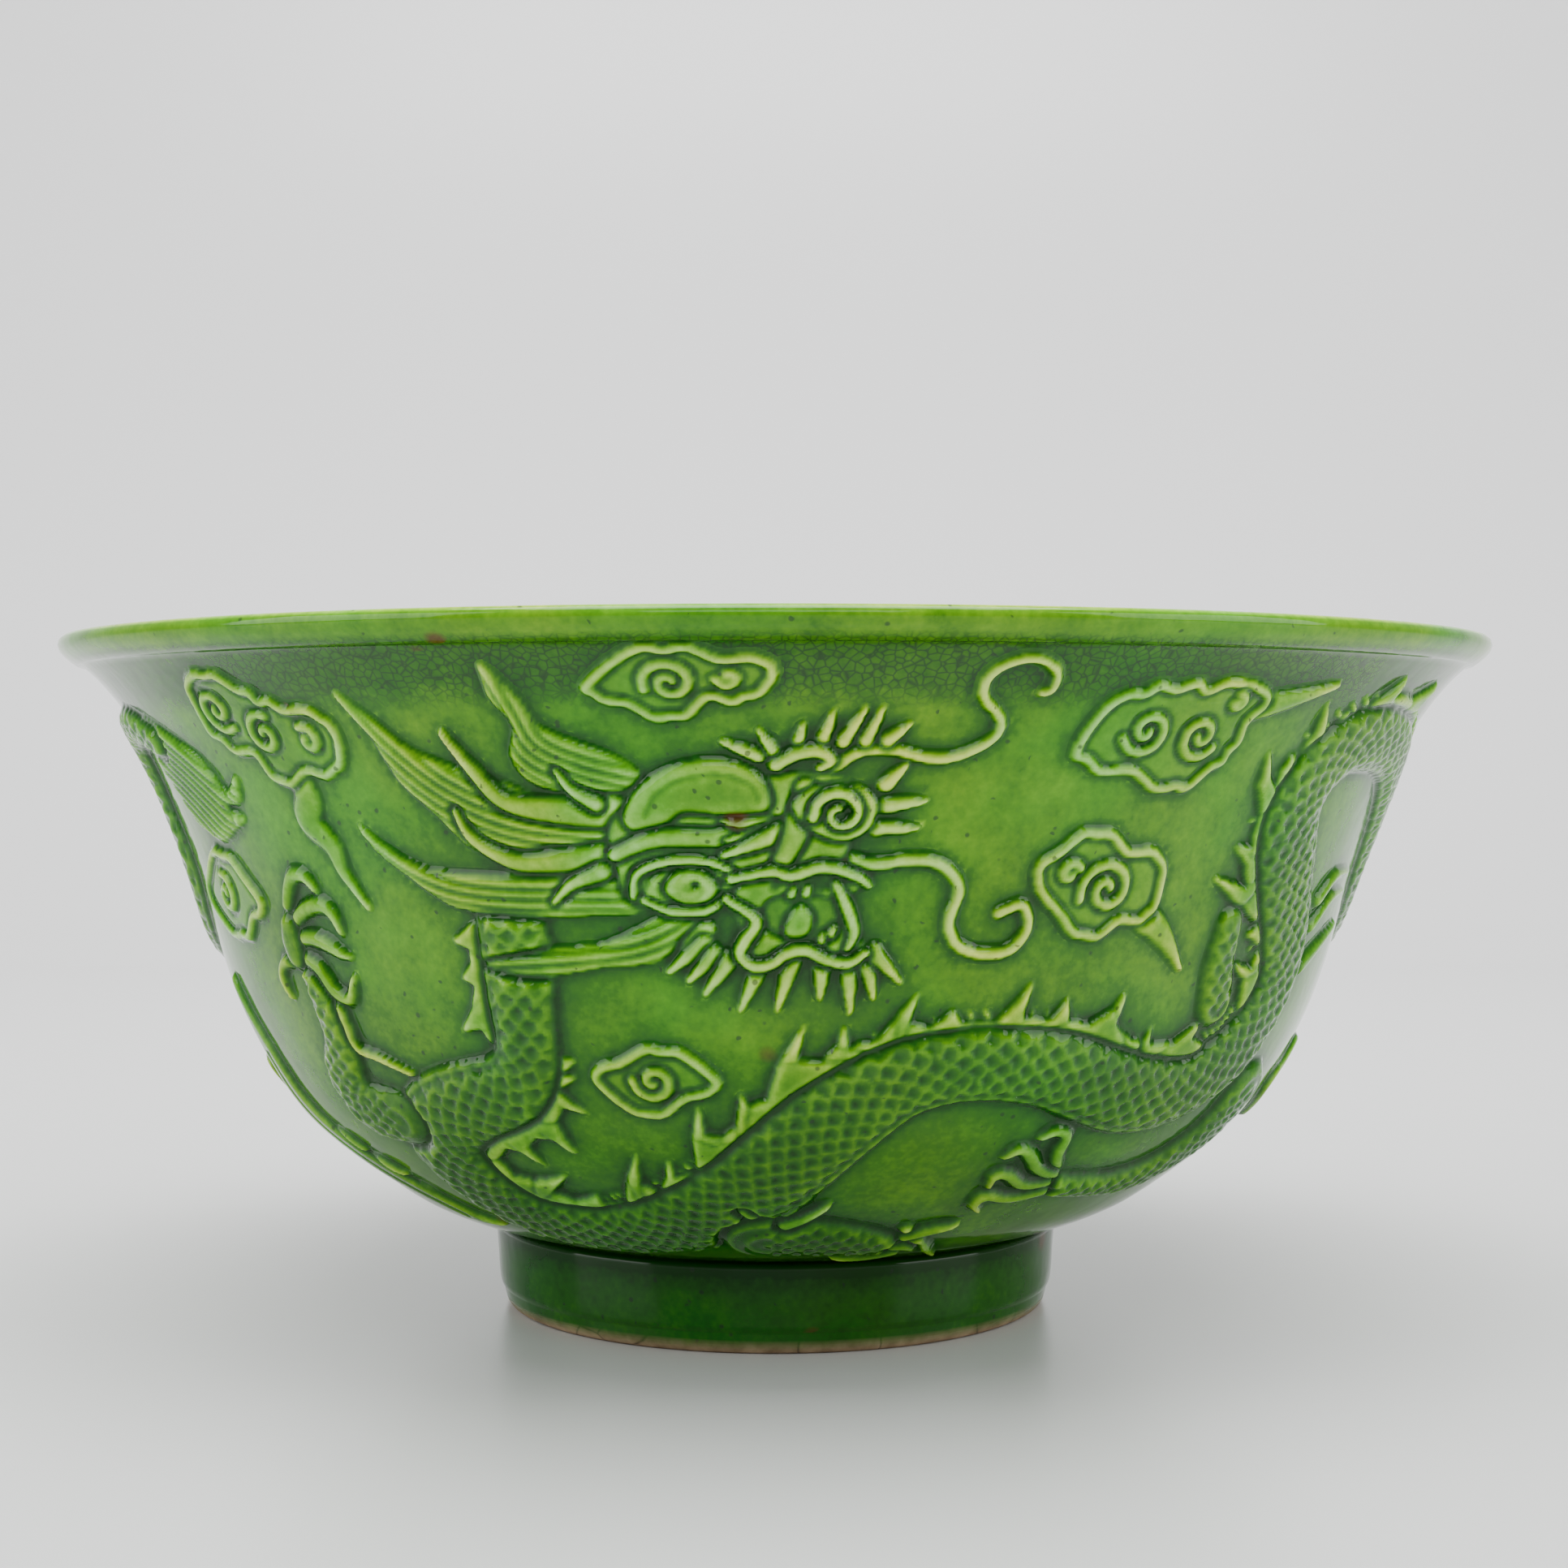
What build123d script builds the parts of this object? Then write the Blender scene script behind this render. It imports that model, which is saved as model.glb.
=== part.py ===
from build123d import *
import math
import os

# A footed porcelain bowl with a moulded relief: the same dragon among clouds, twice round the wall.
# Millimetres. +Z is up, the origin is the centre of the foot ring's resting face, -Y is the front.

# ---------------------------------------------------------------- driving dimensions
RIM_RADIUS = 90.0
BOWL_HEIGHT = 84.7
WALL_THICKNESS = 3.0
LIP_THICKNESS = 2.4
FLOOR_HEIGHT = 13.0          # inside floor above the table
RECESS_HEIGHT = 9.0          # underside inside the foot ring
FOOT_JOINT_HEIGHT = 11.2     # where ring and wall are luted together
FOOT_RADIUS = 36.2
FOOT_BOTTOM_RADIUS = 33.6
FOOT_INNER_RADIUS = 31.0
FOOT_BEVEL_HEIGHT = 2.7      # the glaze stops here, the clay below it is bare
RELIEF = 1.3                 # how far the body, clouds and claws stand off the wall
HEAD_RELIEF = 1.6
PRISM_DEPTH = 110.0          # past the rim, whichever way a sprig faces
DRAGON_TURN = 180.0          # the second dragon is the first one turned this far

# Outer wall, foot joint to lip, as (radius, height). The relief stands on this line.
OUTER_WALL = [
    (36.4, 11.4), (41.0, 12.8), (46.0, 15.0), (50.5, 18.0), (55.6, 22.0),
    (60.9, 27.2), (65.0, 33.2), (68.4, 40.2), (71.0, 48.0), (73.2, 56.0),
    (76.2, 64.2), (78.9, 70.2), (81.8, 75.2), (84.8, 79.0), (87.2, 81.3),
]
LIP_UNDERSIDE = [(87.7, 81.1), (89.4, 82.5)]

wall_line = Edge.make_spline([Vector(r, z) for r, z in OUTER_WALL])


def off_wall(distance):
    """Points beside the outer wall line: outwards where distance is positive."""
    points = []
    for step in range(len(OUTER_WALL)):
        share = step / (len(OUTER_WALL) - 1)
        outward = wall_line.tangent_at(share).rotate(Axis.Z, -90)
        points.append(wall_line.position_at(share) + outward * distance)
    return [(point.X, point.Y) for point in points]


# ---------------------------------------------------------------- bowl wall and foot ring
lip_inner = (RIM_RADIUS - LIP_THICKNESS, BOWL_HEIGHT - 0.7)
inner_wall = off_wall(-WALL_THICKNESS)[2:-1]

with BuildPart() as bowl_wall:
    with BuildSketch(Plane.XZ):
        with BuildLine():
            Spline(*OUTER_WALL)
            Polyline(OUTER_WALL[-1], *LIP_UNDERSIDE)
            ThreePointArc(LIP_UNDERSIDE[-1], (RIM_RADIUS, 83.6), (89.2, BOWL_HEIGHT))
            ThreePointArc((89.2, BOWL_HEIGHT), (88.3, 84.6), lip_inner)
            Spline(lip_inner, *reversed(inner_wall), (24.0, FLOOR_HEIGHT + 0.5), (0, FLOOR_HEIGHT),
                   tangents=[(-0.6, -0.8), (-1, 0)])
            Polyline((0, FLOOR_HEIGHT), (0, RECESS_HEIGHT), (FOOT_INNER_RADIUS, RECESS_HEIGHT),
                     (FOOT_INNER_RADIUS, FOOT_JOINT_HEIGHT), (FOOT_RADIUS, FOOT_JOINT_HEIGHT),
                     OUTER_WALL[0])
        make_face()
    revolve(axis=Axis.Z)

with BuildPart() as foot_ring:
    with BuildSketch(Plane.XZ):
        with BuildLine():
            Line((FOOT_INNER_RADIUS, FOOT_JOINT_HEIGHT), (FOOT_RADIUS, FOOT_JOINT_HEIGHT))
            ThreePointArc((FOOT_RADIUS, FOOT_JOINT_HEIGHT), (35.8, 7.0), (35.2, FOOT_BEVEL_HEIGHT))
            ThreePointArc((35.2, FOOT_BEVEL_HEIGHT), (34.7, 0.9), (FOOT_BOTTOM_RADIUS, 0))
            Line((FOOT_BOTTOM_RADIUS, 0), (FOOT_INNER_RADIUS + 0.9, 0))
            ThreePointArc((FOOT_INNER_RADIUS + 0.9, 0), (FOOT_INNER_RADIUS + 0.25, 0.3),
                          (FOOT_INNER_RADIUS, 1.0))
            Line((FOOT_INNER_RADIUS, 1.0), (FOOT_INNER_RADIUS, FOOT_JOINT_HEIGHT))
        make_face()
    revolve(axis=Axis.Z)


# ---------------------------------------------------------------- how a sprig is shaped
# Every place on the wall is (degrees round from the front, millimetres up the wall from the
# foot joint). A sprig is an outline seen square on from its own direction, pushed out through
# a skin that lies on the wall.
def relief_skin(thickness):
    with BuildPart() as skin:
        with BuildSketch(Plane.XZ):
            with BuildLine():
                Spline(*OUTER_WALL)
                raised = off_wall(thickness)
                Line(OUTER_WALL[-1], raised[-1])
                Spline(*raised)
                Line(raised[0], OUTER_WALL[0])
            make_face()
        revolve(axis=Axis.Z)
    return skin.part


SKINS = {RELIEF: relief_skin(RELIEF), HEAD_RELIEF: relief_skin(HEAD_RELIEF)}


def flat_place(place, facing):
    degrees, climb = place
    point = wall_line.position_at(climb / wall_line.length)
    return (point.X * math.sin(math.radians(degrees - facing)), point.Y)


def facing_plane(facing):
    across = (math.cos(math.radians(facing)), math.sin(math.radians(facing)), 0)
    outward = (math.sin(math.radians(facing)), -math.cos(math.radians(facing)), 0)
    return Plane(origin=(0, 0, 0), x_dir=across, z_dir=outward)


def outline(facing, *runs):
    """A closed outline: a run of two places is straight, a longer one is a smooth curve."""
    with BuildSketch(facing_plane(facing)) as face:
        with BuildLine():
            for run in runs:
                flat = [flat_place(place, facing) for place in run]
                if len(flat) == 2:
                    Line(*flat)
                else:
                    Spline(*flat)
        make_face()
    return face.sketch


def polygon(facing, places):
    with BuildSketch(facing_plane(facing)) as face:
        with BuildLine():
            Polyline(*[flat_place(place, facing) for place in places], close=True)
        make_face()
    return face.sketch


def blob(facing, places):
    """A closed smooth outline."""
    with BuildSketch(facing_plane(facing)) as face:
        with BuildLine():
            Spline(*[flat_place(place, facing) for place in places], periodic=True)
        make_face()
    return face.sketch


def ribbon(facing, places, widths):
    """A band of changing width along a smooth line through the places, with round ends."""
    with BuildLine() as middle:
        Spline(*[flat_place(place, facing) for place in places])
    line = middle.edge()
    left = []
    right = []
    for step in range(len(widths)):
        share = step / (len(widths) - 1)
        aside = line.tangent_at(share).rotate(Axis.Z, 90) * (widths[step] / 2)
        left.append(line.position_at(share) + aside)
        right.append(line.position_at(share) - aside)
    end = line.position_at(1) + line.tangent_at(1) * (widths[-1] / 2)
    start = line.position_at(0) - line.tangent_at(0) * (widths[0] / 2)
    with BuildSketch(facing_plane(facing)) as face:
        with BuildLine():
            Spline(*left)
            ThreePointArc(left[-1], end, right[-1])
            Spline(*right)
            ThreePointArc(right[0], start, left[0])
        make_face()
    return face.sketch


stamps = {}      # each sprig's outline pushed right through, to trim what it overlaps
sprigs = {}


def on_skin(face, thickness):
    """One outline pushed through the skin."""
    with BuildPart() as raised:
        extrude(face, amount=PRISM_DEPTH)
        add(SKINS[thickness], mode=Mode.INTERSECT)
    return raised.part


def sprig(name, *faces, thickness=RELIEF, trimmed_by=()):
    """One relief piece of the first dragon. Pieces in front of it trim it."""
    with BuildPart() as stamp:
        for face in faces:
            extrude(face, amount=PRISM_DEPTH)
    stamps[name] = stamp.part
    raised = [on_skin(face, thickness) for face in faces]
    with BuildPart() as piece:
        for part in raised:
            add(part)
        for other in trimmed_by:
            add(stamps[other], mode=Mode.SUBTRACT)
    sprigs[name] = piece.part


# ---------------------------------------------------------------- head
FACE = -6      # the way the head's sprigs face, in degrees

sprig("head", outline(
    FACE,
    [(-12.6, 65.0), (-13.2, 67.5), (-12.0, 71.2), (-9.0, 75.0), (-5.0, 76.4), (-1.0, 76.6),
     (1.8, 78.0), (4.0, 77.4)],
    [(4.0, 77.4), (4.6, 74.9), (7.8, 73.8), (8.6, 70.8), (7.6, 67.6), (5.4, 66.6)],
    [(5.4, 66.6), (5.8, 64.2), (7.6, 62.3)],
    [(7.6, 62.3), (6.4, 62.2), (5.9, 59.9), (6.6, 57.4), (7.6, 55.2), (4.6, 53.5), (1.6, 54.6),
     (-1.6, 53.2), (-3.4, 55.2), (-2.6, 57.2), (-1.8, 58.4), (-4.4, 60.0), (-8.0, 59.2),
     (-11.6, 60.6), (-12.6, 65.0)]), thickness=HEAD_RELIEF)

brow_row = polygon(
    FACE,
    [(-1.2, 76.4), (-3.8, 78.2), (-0.6, 77.9), (1.0, 78.4), (2.1, 80.2), (3.0, 79.0), (4.3, 81.7),
     (4.9, 79.2), (6.2, 80.6), (6.5, 79.2), (7.6, 82.0), (8.0, 79.3), (9.8, 80.2), (8.6, 78.2),
     (6.2, 78.1), (4.0, 77.2), (1.8, 77.4)])
nose_row = polygon(
    FACE,
    [(8.0, 74.2), (9.9, 75.7), (9.3, 73.6), (9.2, 71.8), (11.7, 71.5), (10.2, 70.4), (8.9, 70.2),
     (9.4, 69.2), (11.1, 68.4), (9.4, 67.6), (7.2, 67.6), (6.8, 70.6)])
beard = polygon(
    FACE,
    [(-6.6, 57.2), (-7.6, 55.3), (-5.2, 54.9), (-8.8, 52.6), (-4.6, 52.6), (-5.8, 50.2),
     (-3.0, 51.4), (-2.8, 48.5), (-0.7, 51.3), (0.2, 48.5), (1.5, 52.3), (2.6, 52.5), (3.9, 49.6),
     (5.0, 52.2), (6.5, 48.1), (7.2, 52.0), (8.5, 49.6), (8.6, 52.6), (10.7, 51.4), (9.4, 54.0),
     (7.2, 55.6), (2.0, 56.6), (-2.0, 57.8)])
sprig("beard_and_brows", brow_row, nose_row, beard, trimmed_by=["head"])

sprig("whiskers", ribbon(
    2, [(5.0, 75.6), (6.4, 77.1), (9.0, 77.3), (12.8, 76.3), (15.4, 77.7), (16.5, 80.2),
        (15.3, 82.8), (14.6, 85.3), (16.1, 88.2), (18.6, 87.8), (19.6, 85.4), (18.9, 83.9)],
    [1.6, 1.4, 1.3, 1.3, 1.2, 1.2, 1.2, 1.2, 1.1, 1.1, 1.0, 0.9]),
      ribbon(
    2, [(4.0, 66.8), (6.1, 65.1), (8.4, 64.5), (12.1, 64.9), (14.3, 63.4), (14.9, 61.0),
        (14.3, 58.2), (15.6, 55.3), (18.2, 54.5), (20.6, 55.5), (21.3, 57.8), (20.5, 59.7),
        (18.9, 59.0)],
    [1.5, 1.4, 1.3, 1.3, 1.3, 1.3, 1.3, 1.3, 1.3, 1.3, 1.3, 1.2, 1.2]),
      trimmed_by=["head", "beard_and_brows"])

# ---------------------------------------------------------------- horns and mane
sprig("horns",
      ribbon(FACE, [(-24.9, 79.2), (-23.0, 75.0), (-20.8, 71.5), (-16.4, 70.4), (-12.6, 70.6)],
             [0.7, 1.5, 2.0, 2.8, 3.6]),
      ribbon(FACE, [(-16.2, 75.0), (-15.2, 72.9), (-13.4, 71.3)], [0.8, 1.4, 2.0]),
      ribbon(FACE, [(-25.3, 70.4), (-24.2, 67.3), (-20.8, 64.8), (-16.4, 65.0), (-12.4, 65.6)],
             [0.8, 1.6, 2.0, 2.4, 3.4]),
      ribbon(FACE, [(-17.9, 60.3), (-16.2, 62.3), (-13.6, 63.8)], [0.8, 1.4, 2.2]),
      trimmed_by=["head"])

top_lock = outline(
    -14,
    [(-20.0, 87.6), (-17.9, 83.3), (-16.6, 79.8), (-12.4, 77.1), (-9.8, 74.6)],
    [(-9.8, 74.6), (-11.9, 72.4), (-16.4, 72.6)],
    [(-16.4, 72.6), (-18.8, 74.0), (-19.7, 76.6), (-19.0, 80.0), (-20.2, 83.5), (-20.0, 87.6)])
side_lock = outline(
    -22,
    [(-33.4, 84.4), (-30.6, 80.9), (-27.6, 77.0), (-22.0, 74.2), (-16.0, 71.0), (-12.6, 69.6)],
    [(-12.6, 69.6), (-12.6, 66.2)],
    [(-12.6, 66.2), (-18.0, 66.2), (-23.8, 65.4), (-27.1, 69.4), (-30.0, 73.6), (-31.4, 78.6),
     (-33.4, 84.4)])
middle_lock = outline(
    -22,
    [(-35.8, 68.6), (-33.6, 66.5), (-29.8, 63.9), (-25.0, 63.3), (-19.0, 63.6), (-12.4, 63.4)],
    [(-12.4, 63.4), (-9.8, 59.6)],
    [(-9.8, 59.6), (-16.0, 58.7), (-22.0, 58.7), (-27.6, 59.5), (-31.4, 62.6), (-34.4, 65.5),
     (-35.8, 68.6)])
lower_lock = outline(
    -16,
    [(-25.2, 53.2), (-20.0, 54.9), (-14.3, 55.8), (-10.8, 57.8), (-8.2, 59.3)],
    [(-8.2, 59.3), (-4.2, 59.8)],
    [(-4.2, 59.8), (-7.1, 57.0), (-9.6, 53.8), (-14.0, 53.2), (-20.0, 51.9), (-25.2, 53.2)])
sprig("mane", top_lock, side_lock, middle_lock, lower_lock,
      trimmed_by=["head", "horns", "beard_and_brows"])

# ---------------------------------------------------------------- body, head end to tail
sprig("coil", outline(
    -30,
    [(-15.6, 21.1), (-18.7, 20.0), (-23.1, 19.5), (-27.6, 21.0), (-31.2, 23.8), (-31.6, 27.6),
     (-28.7, 31.8), (-24.5, 32.9), (-22.2, 35.0), (-21.6, 38.6), (-22.8, 42.6), (-26.4, 43.2),
     (-31.0, 41.8), (-36.4, 39.6), (-40.3, 35.2), (-42.6, 29.5), (-42.6, 24.0), (-39.8, 17.1),
     (-34.0, 11.4), (-26.0, 8.6), (-17.2, 7.4)],
    [(-17.2, 7.4), (-15.6, 21.1)]))

sprig("neck", outline(
    -22,
    [(-25.6, 57.8), (-26.0, 54.0), (-26.0, 50.0), (-25.0, 46.0), (-22.2, 42.0)],
    [(-22.2, 42.0), (-21.4, 38.2)],
    [(-21.4, 38.2), (-18.3, 42.0), (-18.8, 46.0), (-17.8, 51.4), (-16.6, 54.6)],
    [(-16.6, 54.6), (-18.0, 58.6)],
    [(-18.0, 58.6), (-25.6, 57.8)]), trimmed_by=["mane", "coil"])

# The right foreleg lies over the body, from the haunch to claws beside the foot ring.
haunch = outline(
    8,
    [(-3.8, 20.6), (-1.8, 18.8), (0.6, 18.4), (2.0, 17.2), (4.4, 18.4), (10.5, 16.6),
     (14.4, 14.9), (17.0, 12.4)],
    [(17.0, 12.4), (17.0, 9.4)],
    [(17.0, 9.4), (11.0, 8.6), (4.0, 8.0), (-2.0, 8.0), (-3.8, 20.6)])
sprig("right_foreleg", haunch,
      polygon(8, [(1.6, 18.0), (6.6, 21.4), (4.2, 17.4)]),
      ribbon(18, [(16.0, 10.8), (19.0, 9.6)], [4.6, 4.4]),
      ribbon(18, [(17.8, 14.6), (19.6, 12.0), (22.4, 8.4), (26.0, 5.2)], [1.2, 1.6, 1.8, 1.2]),
      ribbon(18, [(18.2, 14.4), (21.0, 14.8), (24.0, 15.2)], [1.2, 1.4, 0.8]),
      ribbon(18, [(17.6, 8.8), (13.4, 6.6), (9.0, 6.4)], [1.6, 1.8, 1.1]),
      trimmed_by=["coil"])

sprig("middle_body", outline(
    8,
    [(-15.6, 21.1), (-10.0, 25.2), (-3.0, 33.4), (3.0, 40.6), (10.5, 45.2), (21.0, 46.2),
     (30.0, 44.6), (36.0, 42.0)],
    [(36.0, 42.0), (36.6, 31.4)],
    [(36.6, 31.4), (30.0, 33.9), (21.0, 37.2), (12.6, 35.4), (7.2, 29.3), (4.8, 24.6),
     (1.4, 17.6)],
    [(1.4, 17.6), (0.6, 9.6)],
    [(0.6, 9.6), (-6.0, 7.6), (-17.2, 7.4)],
    [(-17.2, 7.4), (-15.6, 21.1)]), trimmed_by=["coil", "right_foreleg"])

sprig("rear_body", outline(
    50,
    [(36.0, 42.0), (41.9, 40.5), (48.0, 42.8), (50.9, 50.0), (48.6, 57.0), (45.4, 64.0),
     (44.8, 72.0), (48.4, 78.4), (54.0, 82.3), (61.4, 82.8), (68.0, 80.4)],
    [(68.0, 80.4), (66.0, 72.6)],
    [(66.0, 72.6), (61.4, 74.8), (55.4, 73.4), (53.2, 69.0), (54.4, 63.6), (58.4, 58.0),
     (59.2, 51.6), (57.4, 41.0), (52.6, 34.0), (46.0, 31.8), (36.6, 31.4)],
    [(36.6, 31.4), (36.0, 42.0)]), trimmed_by=["middle_body"])

sprig("tail_base", ribbon(
    82, [(68.5, 76.0), (76.0, 69.0), (83.0, 59.0), (91.0, 52.6), (98.0, 55.0)],
    [7.6, 8.2, 8.4, 8.0, 7.2]), trimmed_by=["rear_body"])

sprig("tail", ribbon(
    106, [(98.0, 55.0), (102.4, 62.0), (101.6, 71.0), (104.6, 79.0), (110.6, 81.0),
          (117.0, 78.6)],
    [7.0, 6.2, 5.6, 5.2, 5.0, 4.4]), trimmed_by=["tail_base"])

sprig("tail_tuft", polygon(
    122,
    [(115.0, 82.0), (120.6, 79.4), (125.0, 76.4), (127.6, 72.4), (130.0, 74.4), (129.6, 71.4),
     (127.4, 70.4), (128.8, 68.8), (126.4, 67.2), (124.6, 67.6), (122.7, 66.0), (121.6, 67.4),
     (118.0, 68.2), (115.6, 72.0), (113.6, 76.0)]), trimmed_by=["tail"])

# ---------------------------------------------------------------- fins
neck_frill = polygon(
    -22,
    [(-25.4, 58.2), (-28.2, 55.6), (-26.6, 54.8), (-26.6, 53.2), (-27.9, 51.4), (-26.6, 50.6),
     (-27.4, 48.0), (-29.0, 45.2), (-26.8, 45.6), (-26.0, 43.8), (-24.6, 45.6), (-25.2, 50.0),
     (-25.2, 54.0), (-24.6, 57.6)])
coil_frill = polygon(
    -24,
    [(-20.4, 43.4), (-17.8, 42.3), (-19.3, 40.8), (-18.0, 40.3), (-20.2, 38.6), (-17.6, 35.2),
     (-20.2, 36.2), (-21.2, 34.4), (-20.3, 29.0), (-22.2, 31.6), (-24.2, 31.9), (-25.4, 30.4),
     (-25.0, 26.8), (-26.4, 29.2), (-28.2, 30.0), (-30.2, 28.0), (-29.6, 25.4), (-27.4, 24.6),
     (-22.8, 25.6), (-25.6, 22.6), (-23.6, 21.0), (-20.4, 22.2), (-19.8, 20.8), (-17.2, 21.2),
     (-18.4, 18.4), (-24.0, 18.0), (-29.0, 20.0), (-33.0, 24.0), (-33.0, 28.0), (-29.0, 33.0),
     (-24.4, 34.2), (-23.0, 38.0), (-22.6, 42.0)])
sprig("neck_fins", neck_frill, coil_frill, trimmed_by=["neck", "coil", "mane", "middle_body"])

sprig("middle_fin", polygon(
    8,
    [(-17.2, 21.2), (-15.8, 26.0), (-13.9, 30.1), (-14.3, 25.2), (-12.6, 23.8), (-11.4, 26.6),
     (-10.8, 29.4), (-10.2, 26.8), (-8.0, 27.4), (-7.9, 33.0), (-7.0, 37.2), (-6.5, 33.6),
     (-5.0, 33.1), (-3.6, 34.6), (-3.0, 38.7), (-2.2, 37.4), (-0.6, 38.2), (0.4, 42.6),
     (2.8, 47.2), (2.2, 43.2), (4.2, 42.9), (5.4, 44.6), (6.1, 47.0), (6.6, 44.6), (9.0, 45.2),
     (10.6, 48.0), (12.4, 50.4), (11.8, 47.2), (13.6, 46.5), (15.6, 48.4), (16.4, 47.0),
     (19.6, 47.0), (21.2, 49.0), (22.9, 51.5), (22.2, 47.2), (24.8, 47.0), (26.5, 49.2),
     (26.9, 46.8), (29.0, 46.2), (31.4, 47.8), (32.8, 49.8), (32.2, 46.0), (34.4, 44.0),
     (36.0, 43.6), (36.0, 40.0), (21.0, 44.0), (10.5, 43.0), (-3.0, 31.0), (-15.0, 19.0)]),
      trimmed_by=["middle_body", "coil", "neck_fins"])

sprig("rear_fin", polygon(
    45,
    [(36.0, 43.6), (36.9, 45.4), (37.0, 43.2), (40.0, 43.2), (44.2, 46.4), (42.6, 43.6),
     (45.0, 42.4), (47.0, 43.4), (48.6, 46.0), (47.8, 50.0), (45.4, 52.2), (48.6, 51.4),
     (49.4, 53.6), (46.8, 55.2), (48.2, 56.6), (44.6, 58.4), (40.1, 62.4), (44.6, 61.2),
     (43.8, 63.6), (41.9, 65.9), (44.0, 65.8), (43.8, 69.6), (42.3, 73.0), (42.2, 77.6),
     (43.4, 74.2), (44.4, 73.0), (44.6, 75.0), (45.4, 76.8), (46.2, 76.2), (46.8, 79.0),
     (46.9, 83.4), (48.2, 79.6), (49.4, 80.4), (50.2, 82.4), (51.4, 81.8), (53.4, 83.4),
     (56.8, 87.6), (56.4, 84.6), (58.8, 85.0), (61.4, 84.6), (66.0, 87.2), (64.6, 83.6),
     (68.0, 82.0), (68.0, 79.0), (61.0, 80.0), (52.0, 78.0), (47.0, 71.0), (48.0, 63.0),
     (52.0, 52.0), (49.0, 42.0), (36.0, 40.0)]),
      trimmed_by=["rear_body", "middle_fin", "tail_base"])

# ---------------------------------------------------------------- legs with their claws
LEFT_FORE = -46
shoulder = outline(
    LEFT_FORE,
    [(-47.2, 52.6), (-44.6, 51.0), (-43.8, 45.0), (-43.2, 41.8), (-40.6, 41.0), (-36.2, 39.4)],
    [(-36.2, 39.4), (-40.0, 30.0)],
    [(-40.0, 30.0), (-44.6, 27.8), (-48.4, 31.0), (-51.6, 36.0), (-50.4, 39.6), (-48.0, 42.4),
     (-47.4, 47.0), (-48.8, 51.0)],
    [(-48.8, 51.0), (-47.2, 52.6)])
sprig("left_foreleg", shoulder,
      ribbon(LEFT_FORE, [(-48.2, 51.6), (-48.7, 54.6), (-48.6, 56.6)], [3.0, 4.4, 3.2]),
      ribbon(LEFT_FORE, [(-48.6, 56.4), (-47.2, 60.2), (-46.0, 62.2), (-44.2, 62.2), (-42.9, 60.2)],
             [1.8, 1.8, 1.8, 1.5, 0.8]),
      ribbon(LEFT_FORE, [(-48.0, 56.0), (-45.6, 58.2), (-42.8, 58.8), (-41.4, 57.6), (-40.9, 56.0)],
             [1.8, 2.0, 2.0, 1.4, 0.8]),
      ribbon(LEFT_FORE, [(-48.0, 54.8), (-45.0, 54.9), (-42.0, 54.0), (-40.5, 53.2)],
             [1.6, 1.8, 1.8, 1.2]),
      ribbon(LEFT_FORE, [(-47.8, 53.2), (-45.2, 51.8), (-43.6, 49.2), (-41.6, 48.4), (-40.8, 50.6)],
             [1.6, 1.7, 1.8, 1.6, 0.8]),
      polygon(LEFT_FORE, [(-48.6, 54.6), (-51.0, 53.0), (-52.4, 50.6), (-51.8, 47.6),
                          (-50.6, 50.0), (-48.8, 51.8)]),
      trimmed_by=["coil"])

# The left hind leg passes behind the body: the knee shows on one side, the claws on the other.
knee = outline(
    50,
    [(44.6, 57.4), (42.2, 56.4), (41.0, 52.4), (40.6, 47.6)],
    [(40.6, 47.6), (44.4, 46.0)],
    [(44.4, 46.0), (47.6, 45.6), (48.8, 50.0), (47.8, 55.6), (44.6, 57.4)])
sprig("left_hind_leg", knee,
      ribbon(62, [(60.2, 58.6), (63.6, 61.4), (68.6, 61.8)], [1.8, 1.6, 0.8]),
      ribbon(62, [(60.0, 55.4), (64.0, 58.6), (69.0, 59.4)], [1.8, 1.6, 0.8]),
      polygon(62, [(59.8, 51.6), (64.0, 53.8), (69.4, 55.4), (64.8, 51.8), (59.8, 48.8)]),
      trimmed_by=["rear_fin", "rear_body"])

RIGHT_HIND = 40
thigh = blob(
    48, [(31.8, 24.8), (36.0, 24.4), (42.0, 23.4), (48.0, 25.4), (52.4, 30.0), (56.0, 37.0),
         (61.6, 36.0), (61.4, 27.6), (56.0, 21.4), (48.0, 18.0), (40.0, 19.6), (33.4, 20.4)])
sprig("right_hind_leg", thigh,
      ribbon(RIGHT_HIND, [(32.6, 25.0), (31.0, 28.6), (30.8, 31.6), (29.2, 32.4), (27.8, 31.4)],
             [1.6, 1.6, 1.6, 1.6, 0.9]),
      ribbon(RIGHT_HIND, [(32.4, 24.8), (29.4, 26.6), (27.2, 29.0), (24.8, 29.8)],
             [1.6, 1.8, 1.8, 0.9]),
      ribbon(RIGHT_HIND, [(32.2, 23.4), (28.8, 23.8), (26.2, 25.4), (23.8, 26.0)],
             [1.6, 1.5, 1.6, 0.9]),
      ribbon(RIGHT_HIND, [(32.6, 21.8), (28.4, 20.9), (24.6, 21.8), (24.0, 20.2), (25.6, 18.4)],
             [1.6, 1.4, 1.6, 1.5, 0.8]),
      trimmed_by=["rear_body", "middle_body", "tail_base"])

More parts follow.
